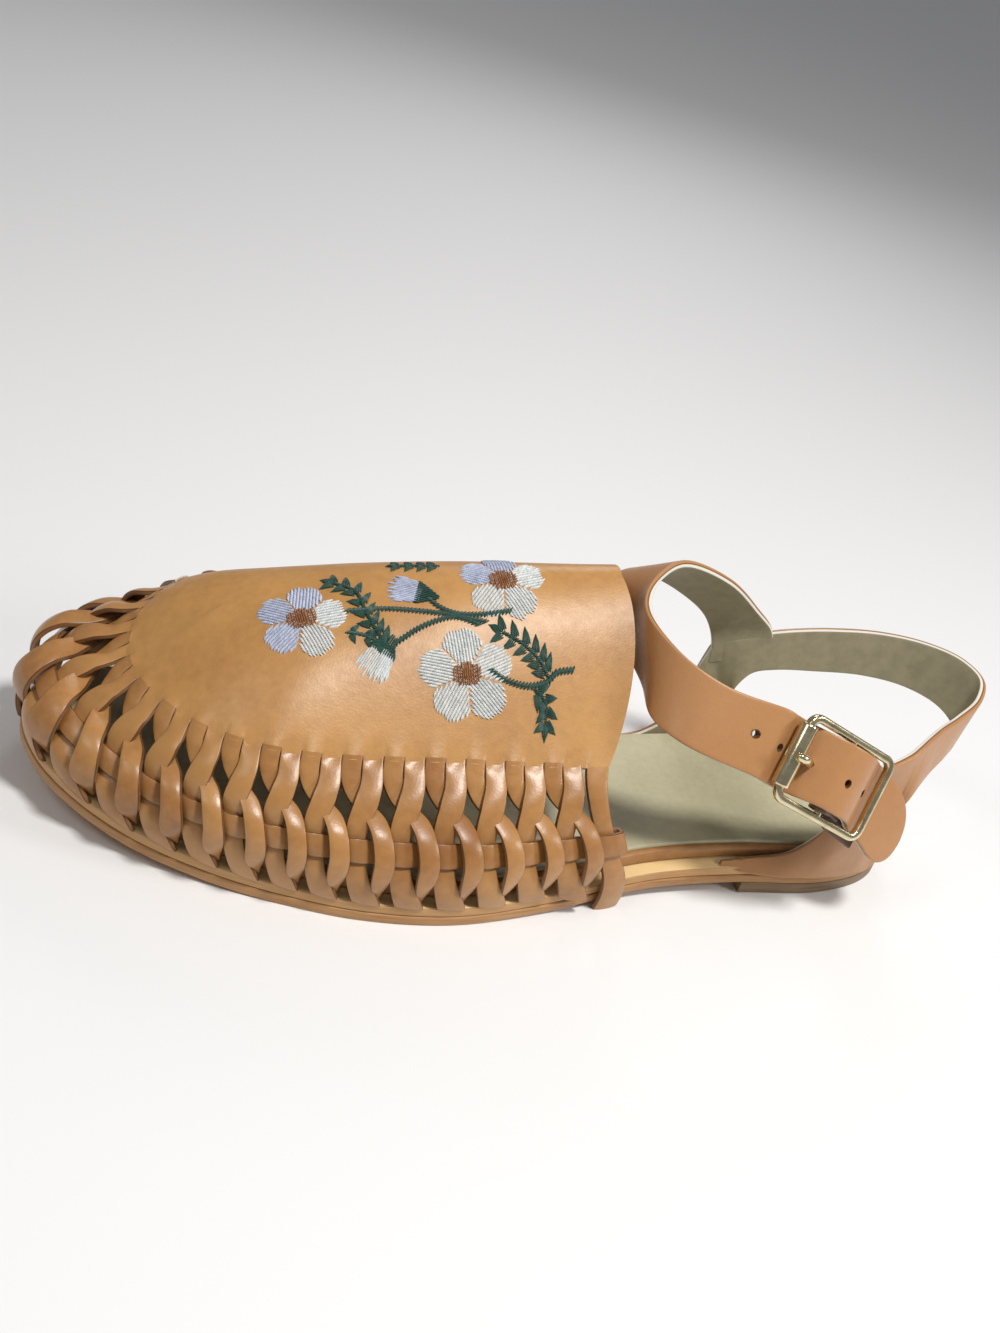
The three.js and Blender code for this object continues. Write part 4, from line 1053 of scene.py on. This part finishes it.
# %% The weave
rng = np.random.default_rng(7)
weave = []
for pair in range(PAIRS):
    relief = 1 + 0.5 * bell(pair + 0.5, 15.0, 5)
    weave.append(strip(FRONT_STRIP, pair, rng.normal(0, 0.06), relief=relief))
    weave.append(strip(BACK_STRIP, pair, rng.normal(0.05, 0.06), relief=relief))


def end_strip(middle, half, last):
    """The single strip at a rear corner, straight, pinched at the thong and flared at its foot."""
    shape = table("down middle half height tilt raw", [
        (0.0, 1 - middle, half, -0.75, 0, 0),
        (0.2, 1 - middle, half * 0.88, -0.75, 0, 0),
        (0.45, 1 - middle, half * 0.82, -1.1, 0, 0),
        (0.7, 1 - middle + 0.02, half * 0.88, -1.1, 0, 0),
        (0.85, 1 - middle + 0.12, half, -0.3, 0, 0),
        (1.1, 1 - middle + 0.3, half * 1.1, 0.2, 0, 0),
    ])
    return strip(shape, 0, 0.0, last=last)


weave.append(end_strip(-0.42, 0.3, 1.12))
weave.append(end_strip(PAIRS + 0.4, 0.3, 1.0))
finished(joined("vamp_strips", weave), strip_leather, "tan_leather", "woven_vamp")

# %% The thong through the weave
THONG_DOWN = 0.585
THONG_HALF = 0.088
THONG_WALL = 1.3


def thong():
    """A flat lace round the band: its height is a cosine of the pair position, in front of each first
    strip and behind its partner, and both ends turn round the last strips."""
    along = np.linspace(-0.05, PAIRS + 0.05, PAIRS * 16)
    height = -0.2 + 0.5 * np.cos(2 * math.pi * (along - 0.67))
    turn = [(-0.1, 0.4), (-0.3, 0.6), (-0.55, 0.6), (-0.8, 0.1)]
    turn += [(-0.88, -1.3), (-0.8, -2.6), (-0.5, -3.1), (-0.15, -3.1)]
    turn = spline(np.array(turn), np.linspace(0, len(turn) - 1, 40))
    wave = np.column_stack([along, height])[6:-6]
    path = np.concatenate([turn[::-1], wave, [PAIRS, 0] + turn * [-1, 1]])
    share, reach, thick, side = strap_section(THONG_WALL, flat=6)
    tangent = unit(np.gradient(path, axis=0) * [STRIP_PITCH, 1.0])
    out = np.column_stack([-tangent[:, 1] / STRIP_PITCH, tangent[:, 0]])
    centre = path[:, None, :] + out[:, None, :] * thick[None, :, None]
    down = THONG_DOWN + THONG_HALF * share + reach / 34
    down = np.broadcast_to(down[None], centre.shape[:2])
    lift = centre[..., 1] + 0.12 * (1 - share**2) + puff(centre[..., 0], down)
    spot, _ = raised(band_at, centre[..., 0], down, lift)
    return loft(spot, np.broadcast_to(side, spot.shape[:2]), 0.12)


finished(joined("vamp_thong", [thong()]), strip_leather, "tan_leather", "woven_vamp")

# %% [markdown]
# ## The sling
#
# Behind the toe piece the foot is held by one lined band: a low ear on the outer side, a loop round
# the heel, and an ear on the inner side that runs on as the instep strap. Its two edges are smooth
# curves through a table of points, and a strap section fills the space between them.

# %% Rows of the sling
SLING_ROWS = table("low_along low_across low_up high_along high_across high_up", [
    (0.256, -0.346, 0, 0.254, -0.346, 0.012),
    (0.222, -0.341, 0, 0.218, -0.341, 0.026),
    (0.182, -0.335, 0, 0.171, -0.341, 0.06),
    (0.148, -0.33, 0, 0.139, -0.349, 0.185),
    (0.125, -0.324, 0, 0.129, -0.363, 0.421),
    (0.102, -0.313, 0, 0.121, -0.357, 0.526),
    (0.076, -0.297, 0, 0.095, -0.324, 0.539),
    (0.053, -0.275, 0, 0.074, -0.297, 0.559),
    (0.056, -0.302, 0.184, 0.062, -0.275, 0.575),
    (0.05, -0.291, 0.355, 0.049, -0.247, 0.588),
    (0.027, -0.231, 0.408, 0.023, -0.192, 0.605),
    (-0.004, -0.159, 0.441, -0.009, -0.132, 0.618),
    (-0.032, -0.077, 0.454, -0.042, -0.066, 0.658),
    (-0.044, 0, 0.474, -0.055, 0.011, 0.697),
    (-0.032, 0.077, 0.5, -0.038, 0.088, 0.724),
    (0.002, 0.154, 0.513, -0.002, 0.165, 0.724),
    (0.049, 0.214, 0.5, 0.049, 0.225, 0.704),
    (0.106, 0.258, 0.461, 0.106, 0.258, 0.668),
    (0.152, 0.275, 0.434, 0.148, 0.275, 0.632),
    (0.178, 0.286, 0.395, 0.174, 0.284, 0.603),
    (0.189, 0.291, 0.303, 0.205, 0.305, 0.546),
    (0.182, 0.297, 0.211, 0.222, 0.319, 0.511),
    (0.17, 0.303, 0.105, 0.231, 0.33, 0.487),
    (0.152, 0.308, 0, 0.236, 0.332, 0.421),
    (0.197, 0.314, 0, 0.242, 0.333, 0.277),
    (0.242, 0.325, 0, 0.258, 0.333, 0.133),
    (0.28, 0.333, 0, 0.288, 0.333, 0.05),
    (0.311, 0.333, 0, 0.312, 0.333, 0.03),
])
STRAP_ROWS = table("low_along low_across low_up high_along high_across high_up", [
    (0.231, 0.33, 0.395, 0.167, 0.286, 0.5),
    (0.235, 0.33, 0.484, 0.174, 0.28, 0.605),
    (0.248, 0.352, 0.58, 0.208, 0.264, 0.711),
    (0.28, 0.341, 0.675, 0.263, 0.225, 0.851),
    (0.36, 0.297, 0.814, 0.337, 0.165, 0.954),
    (0.402, 0.231, 0.804, 0.373, 0.088, 0.942),
    (0.394, 0.066, 0.684, 0.39, 0.022, 0.913),
    (0.386, -0.143, 0.643, 0.396, -0.066, 0.895),
    (0.39, -0.297, 0.624, 0.371, -0.209, 0.843),
    (0.367, -0.396, 0.612, 0.326, -0.308, 0.794),
])
STRAP_WALL = 2.2
STRAP_WIDTH = 20.5
TAB_LENGTH = 22.0
TAB_DROOP = 6.0
print(len(SLING_ROWS["low_up"]), "rows make the sling,", len(STRAP_ROWS["low_up"]), "the instep strap")


# %% Bands between two edges
def edge_rows(rows):
    """Both edge curves of a table's rows."""
    low = place(rows["low_along"], rows["low_across"], rows["low_up"])
    high = place(rows["high_along"], rows["high_across"], rows["high_up"])
    return low, high


def side_spot(along, side, inset):
    """Height over the middle line of the outline on one side, at a share of the length."""
    share = np.linspace(0.02, 0.48, 400) if side < 0 else np.linspace(0.98, 0.52, 400)
    spots, _ = edge_at(share, inset)
    return np.interp(along, along_at(spots[:, 0]), spots[:, 1])


def seated_sling():
    """The sling's rows, with the ears' feet just inside the sole's edge."""
    low, high = edge_rows(SLING_ROWS)
    columns = (SLING_ROWS[name] for name in ("low_along", "low_across", "low_up", "high_up"))
    for i, (along, across, up, high_up) in enumerate(zip(*columns)):
        if up == 0:
            tuck = np.clip((0.27 - along) / 0.06, 0, 1) * (along < 0.3) if across < 0 else 0
            low[i, 1] = side_spot(along, np.sign(across), (EDGE_LEDGE + STRAP_WALL / 2) * (1 - tuck) - 0.3 * tuck)
            low[i, 2] -= (MIDSOLE + SEAM) * tuck
            if high_up < 0.2:
                high[i, 1] = side_spot(along, np.sign(across), EDGE_LEDGE + STRAP_WALL / 2)
    return low, high


def band_solid(low, high, wall, steps_per_row=8, flat=14, crown=0.0):
    """Strap section between two edge curves. Its normal is the cross product of the path's direction
    and the way across."""
    at = np.linspace(0, len(low) - 1, (len(low) - 1) * steps_per_row + 1)
    a, b = spline(low, at), spline(high, at)
    share, reach, height, side = strap_section(wall, flat, 0.5)
    w = (share + 1) / 2
    middle = a[:, None] * (1 - w)[None, :, None] + b[:, None] * w[None, :, None]
    across = unit(b - a)[:, None]
    along = np.gradient(middle, axis=0)
    normal = unit(np.cross(along, np.broadcast_to(across, along.shape)))
    lift = height[None] + crown * (1 - share**2)[None]
    spot = middle + across * reach[None, :, None] + normal * lift[..., None]
    return loft(spot, side)


# %% [markdown]
# ## The buckle
#
# A roller buckle is bent from wire: a rounded frame with a bar across its middle, which carries the
# prong, and a rolled tube on the end bar, so the strap slides when it is pulled tight. The strap
# goes under the roller, over the middle bar and under the far bar. All of it is laid out in the
# buckle's own axes: back along the strap, down across it, and out from the foot.

# %% Axes of the buckle
BUCKLE_LENGTH = 36.0
WIRE = 2.4
BAR = 1.2
ROLLER_WALL = 0.9
CHAPE_WALL = 1.6
PRONG = 2.2
tilt, lean = math.radians(23.8), math.radians(26.8)
buckle_back = np.array([math.cos(tilt), 0, -math.sin(tilt)])
buckle_upright = np.array([math.sin(tilt), 0, math.cos(tilt)])
buckle_down = np.array([0, -math.sin(lean), 0]) - math.cos(lean) * buckle_upright
buckle_out = np.cross(buckle_down, buckle_back)
buckle_centre = place(0.195, -0.448, 0.549)
end_bar = BUCKLE_LENGTH / 2 - WIRE / 2
roller_outer = WIRE / 2 * math.sqrt(2) + ROLLER_WALL
chape_outer = BAR + SEAM + CHAPE_WALL
strap_over = chape_outer + SEAM + STRAP_WALL / 2
strap_under = -(roller_outer + 2 * SEAM + STRAP_WALL / 2)
buckle_width = STRAP_WIDTH + 2 * WIRE + 4 * SEAM


def at_buckle(back, down, out):
    """Points in the buckle's axes, as points of the last's frame."""
    back, down, out = np.broadcast_arrays(np.asarray(back, float), down, out)
    return buckle_centre + back[..., None] * buckle_back + down[..., None] * buckle_down + out[..., None] * buckle_out


BUCKLED = table("back out half drop", [
    (-1.35 * end_bar, strap_under * 0.9, 1, 0),
    (-1.1 * end_bar, strap_under, 1, 0),
    (-0.86 * end_bar, strap_under * 0.97, 1, 0),
    (-0.5 * end_bar, strap_over * 0.3, 0.97, -0.05),
    (-0.26 * end_bar, strap_over * 0.9, 0.95, -0.09),
    (0, strap_over * 1.06, 0.95, -0.09),
    (0.32 * end_bar, strap_over * 0.86, 0.95, -0.08),
    (0.66 * end_bar, strap_over * 0.02, 0.97, -0.04),
    (end_bar, strap_under, 1, 0),
    (end_bar + 0.3 * TAB_LENGTH, strap_under * 1.1, 1.02, 0.25),
    (end_bar + 0.55 * TAB_LENGTH, strap_under * 1.2, 1.04, 0.55),
    (end_bar + 0.75 * TAB_LENGTH, strap_under * 1.3, 0.95, 0.8),
    (end_bar + 0.89 * TAB_LENGTH, strap_under * 1.38, 0.72, 0.93),
    (end_bar + 0.97 * TAB_LENGTH, strap_under * 1.44, 0.42, 0.99),
    (end_bar + TAB_LENGTH, strap_under * 1.46, 0.08, 1),
])


def buckled_rows():
    """Both edge curves of the strap's end, through the buckle and on to the tab."""
    middle, reach = BUCKLED["drop"] * TAB_DROOP, BUCKLED["half"] * STRAP_WIDTH / 2
    return [at_buckle(BUCKLED["back"], middle + side * reach, BUCKLED["out"]) for side in (1, -1)]


print("the buckle's centre, mm in the shoe's frame:", (buckle_centre + BOX_SHIFT).round(1))

# %% Sling and strap
sling = joined("sling_band", [band_solid(*seated_sling(), STRAP_WALL)])
finished(sling, strap_leather, "tan_leather", "sling_upper")
strap_edges = [np.concatenate(pair) for pair in zip(edge_rows(STRAP_ROWS), buckled_rows())]
strap = joined("instep_strap", [band_solid(*strap_edges, STRAP_WALL)])


# %% Punched holes
def punched(obj, holes, radius):
    """Round holes through a strap at places of the buckle's axes: one boolean cut with a rod for each."""
    turn = np.linspace(0, 2 * math.pi, 20, endpoint=False)
    rods = []
    for back, out in holes:
        ends = np.array([out - 3.5, out + 3.5])
        rods.append(loft(at_buckle(back + radius * np.cos(turn), radius * np.sin(turn), ends[:, None])))
    cutter = joined("hole_rods", rods)
    cut = obj.modifiers.new("holes", "BOOLEAN")
    cut.operation, cut.object, cut.solver = "DIFFERENCE", cutter, "EXACT"
    bpy.context.view_layer.update()
    obj.data = bpy.data.meshes.new_from_object(obj.evaluated_get(bpy.context.evaluated_depsgraph_get()))
    obj.modifiers.clear()
    bpy.data.objects.remove(cutter)
    return obj


holes = [(-28.5, strap_under), (-20.0, strap_under), (-11.3, 0.6), (-0.3, strap_over), (9.0, 1.4)]
punched(strap, holes, 1.15)
strap.data.set_sharp_from_angle(angle=math.radians(50))
finished(strap, strap_leather, "tan_leather", "sling_upper")

# %% The fold round the middle bar
wrap = BAR + SEAM + CHAPE_WALL / 2
turns = np.radians([-100, -142, -184, -226, -268])
behind, before = [(24, -7.8), (17, -6.6), (10, -5.2), (4.5, -3.6)], [(5.5, -0.4), (10, -2.9)]
back, out = np.concatenate([behind, wrap * np.column_stack([np.cos(turns), np.sin(turns)]), before]).T
FOLD_HALF = 10.2
# The fold's low edge is widened by up to 4.3 mm near the strap, so its dark leather fills the gap under the strap:
# painted shade.
fold_low = FOLD_HALF + np.interp(out, [-7.8, -5, -3.2], [4.3, 3, 0])
fold_edges = [at_buckle(back, down, out) for down in (fold_low, -FOLD_HALF)]
chape = joined("buckle_chape", [band_solid(*fold_edges, CHAPE_WALL)])
finished(chape, chape_leather, "tan_leather", "sling_upper")


# %% Buckle frame and middle bar
def round_rod(path, radius, sides=16, squash=1.0):
    """Round section carried along a path, its radius a number or a column of numbers."""
    along = unit(np.gradient(path, axis=0))
    across = unit(np.cross(along, buckle_out))
    up = np.cross(across, along)
    turn = np.linspace(0, 2 * math.pi, sides, endpoint=False)
    radius = np.broadcast_to(np.asarray(radius, float), (len(path),))[:, None, None]
    wide, high = np.cos(turn)[None, :, None], squash * np.sin(turn)[None, :, None]
    return path[:, None] + radius * (wide * across[:, None] + high * up[:, None])


def frame_wire():
    """Wire of nearly square section round a rectangle with round corners, as a closed ring."""
    corner, half_x, half_y = 3.0, BUCKLE_LENGTH / 2 - WIRE / 2, buckle_width / 2 - WIRE / 2
    arcs = []
    for k, (sx, sy) in enumerate(((1, -1), (1, 1), (-1, 1), (-1, -1))):
        turn = np.radians(-90 + 90 * k) + np.linspace(0, math.pi / 2, 9)
        centre = [sx * (half_x - corner), sy * (half_y - corner)]
        arcs.append(centre + corner * np.column_stack([np.cos(turn), np.sin(turn)]))
    ring = np.concatenate(arcs)
    steps = [np.linspace(ring[i], ring[(i + 1) % len(ring)], 6)[:-1] for i in range(len(ring))]
    ring = np.concatenate(steps)
    tangent = unit(np.roll(ring, -1, 0) - np.roll(ring, 1, 0))
    normal = np.column_stack([tangent[:, 1], -tangent[:, 0]])
    turn = np.linspace(0, 2 * math.pi, 20, endpoint=False)
    x = np.sign(np.cos(turn)) * np.abs(np.cos(turn)) ** 0.55 * WIRE / 2
    z = np.sign(np.sin(turn)) * np.abs(np.sin(turn)) ** 0.55 * WIRE / 2
    flat = ring[:, None] + normal[:, None] * x[None, :, None]
    spots = at_buckle(flat[..., 0], flat[..., 1], np.broadcast_to(z, flat.shape[:2]))
    points = spots.reshape(-1, 3)
    quads = grid_quads(*spots.shape[:2], close_rows=True, close_cols=True)
    if signed_volume(points - points.mean(0), quads) < 0:
        quads = quads[:, ::-1]
    flat_values = {label: np.zeros(len(points)) for label in ("side", "tone", "raw")}
    return points, quads.tolist(), flat_values


half_bar = (buckle_width - WIRE) / 2
bar = loft(round_rod(at_buckle(0, np.linspace(-half_bar, half_bar, 12), 0), BAR))
finished(joined("buckle_frame_wire", [frame_wire(), bar]), pale_brass, "pale_brass", "buckle_frame")


# %% Roller and prong
def roller():
    """Tube on the front bar, a little rounded at its ends."""
    half = (STRAP_WIDTH - 2) / 2
    end, round_off = np.array([0, 0, 0.25, 0.7]), np.array([0.85, 0.3, 0.08, 0])
    down = np.concatenate([end - half, [0], (half - end)[::-1]])
    radius = roller_outer - np.concatenate([round_off, [0], round_off[::-1]])
    turn = np.linspace(0, 2 * math.pi, 32, endpoint=False)
    spots = at_buckle(-end_bar + radius[:, None] * np.cos(turn), down[:, None], radius[:, None] * np.sin(turn))
    return loft(spots)


finished(joined("buckle_roller_tube", [roller()]), pale_brass, "pale_brass", "buckle_roller")


def prong():
    """Tapered tongue from the middle bar, bent down over the roller, and its eye round the bar."""
    rest = roller_outer + SEAM + PRONG / 2
    path = [(BAR + 0.2, 0.6), (-2.5, -1.6), (-6.0, -2.0), (-9.5, -1.0), (-12.0, 1.1), (-14.6, 3.4)]
    path += [(-16.8, rest + 0.15), (-19.0, rest - 0.2)]
    fine = spline(np.array(path), np.linspace(0, len(path) - 1, 60))
    widths = [1.0, PRONG * 0.6, PRONG * 0.6, PRONG * 0.5, 0.5]
    radius = np.interp(np.linspace(0, 1, 60), [0, 0.1, 0.85, 0.96, 1], widths)
    return loft(round_rod(at_buckle(fine[:, 0], 0, fine[:, 1]), radius, squash=0.85))


finished(joined("buckle_prong_wire", [prong()]), pale_brass, "pale_brass", "buckle_prong")

# %% [markdown]
# ## Studio
#
# A plain pale floor lies under an even sky. The main light hangs almost overhead, on the buckle's
# side, and weaker ones stand at the toe, at the heel and behind the shoe. The camera looks down at
# the outer side from about 45 centimetres away, rolled by eighteen degrees.

# %% Floor and sky
floor_material = Graph("pale_floor", Base_Color=(0.86, 0.86, 0.86, 1), Roughness=0.6).material
floor_points = np.array([(-3000, -3000, 0), (3000, -3000, 0), (3000, 3000, 0), (-3000, 3000, 0)], float)
floor = build("floor", floor_points, [(0, 1, 2, 3)])
floor.data.materials.append(floor_material)

world = bpy.data.worlds.new("studio")
bpy.context.scene.world = world
world.use_nodes = True
sky = world.node_tree.nodes["Background"].inputs
sky["Color"].default_value = (0.96, 0.97, 1.0, 1)
sky["Strength"].default_value = 0.21
bpy.context.scene.view_settings.view_transform = "Standard"
print("sky strength", round(sky["Strength"].default_value, 2))


# %% Lights
def soft_light(name, at, target, size, watts, colour):
    """A round lamp that looks from one place at another, in metres."""
    lamp = bpy.data.lights.new(name, "AREA")
    lamp.shape, lamp.size, lamp.energy, lamp.color = "DISK", size, watts, colour
    obj = bpy.data.objects.new(name, lamp)
    bpy.context.scene.collection.objects.link(obj)
    obj.location = at
    obj.rotation_euler = (Vector(target) - Vector(at)).to_track_quat("-Z", "Y").to_euler()


soft_light("key", (0.16, -0.3, 0.93), (0.0, 0, 0.03), 0.17, 7.0, (1.0, 0.985, 0.96))
soft_light("fill", (-0.55, -0.2, 0.75), (0.02, 0, 0.03), 0.3, 1.0, (1.0, 0.985, 0.96))
soft_light("side", (0.78, -0.38, 0.5), (0.05, 0, 0.03), 0.2, 2.6, (1.0, 0.985, 0.96))
soft_light("rear", (0.25, 0.8, 0.55), (0.0, 0, 0.04), 0.35, 1.1, (1.0, 0.97, 0.98))

print("lamps:", [light.name for light in bpy.data.lights])

# %% Camera
YAW, PITCH, ROLL = 0.394284, 0.554951, 0.319921
FOCAL_PIXELS = 1500.83
FRAME_HEIGHT = 1333
forward = np.array([math.sin(YAW) * math.cos(PITCH), math.cos(YAW) * math.cos(PITCH), -math.sin(PITCH)])
level = np.array([math.cos(YAW), -math.sin(YAW), 0.0])
upward = np.cross(level, forward)
right = math.cos(ROLL) * level + math.sin(ROLL) * upward
top = math.cos(ROLL) * upward - math.sin(ROLL) * level
lens = bpy.data.cameras.new("camera")
lens.lens = FOCAL_PIXELS * lens.sensor_width / FRAME_HEIGHT
camera = bpy.data.objects.new("camera", lens)
bpy.context.scene.collection.objects.link(camera)
stand = (np.array([-143.8, -327.25, 269.5]) + BOX_SHIFT) * 0.001
placed = np.eye(4)
placed[:3] = np.column_stack([right, top, -forward, stand])
camera.matrix_world = Matrix(placed.tolist())
bpy.context.scene.camera = camera
print(f"lens {lens.lens:.1f} mm, camera at", stand.round(3))
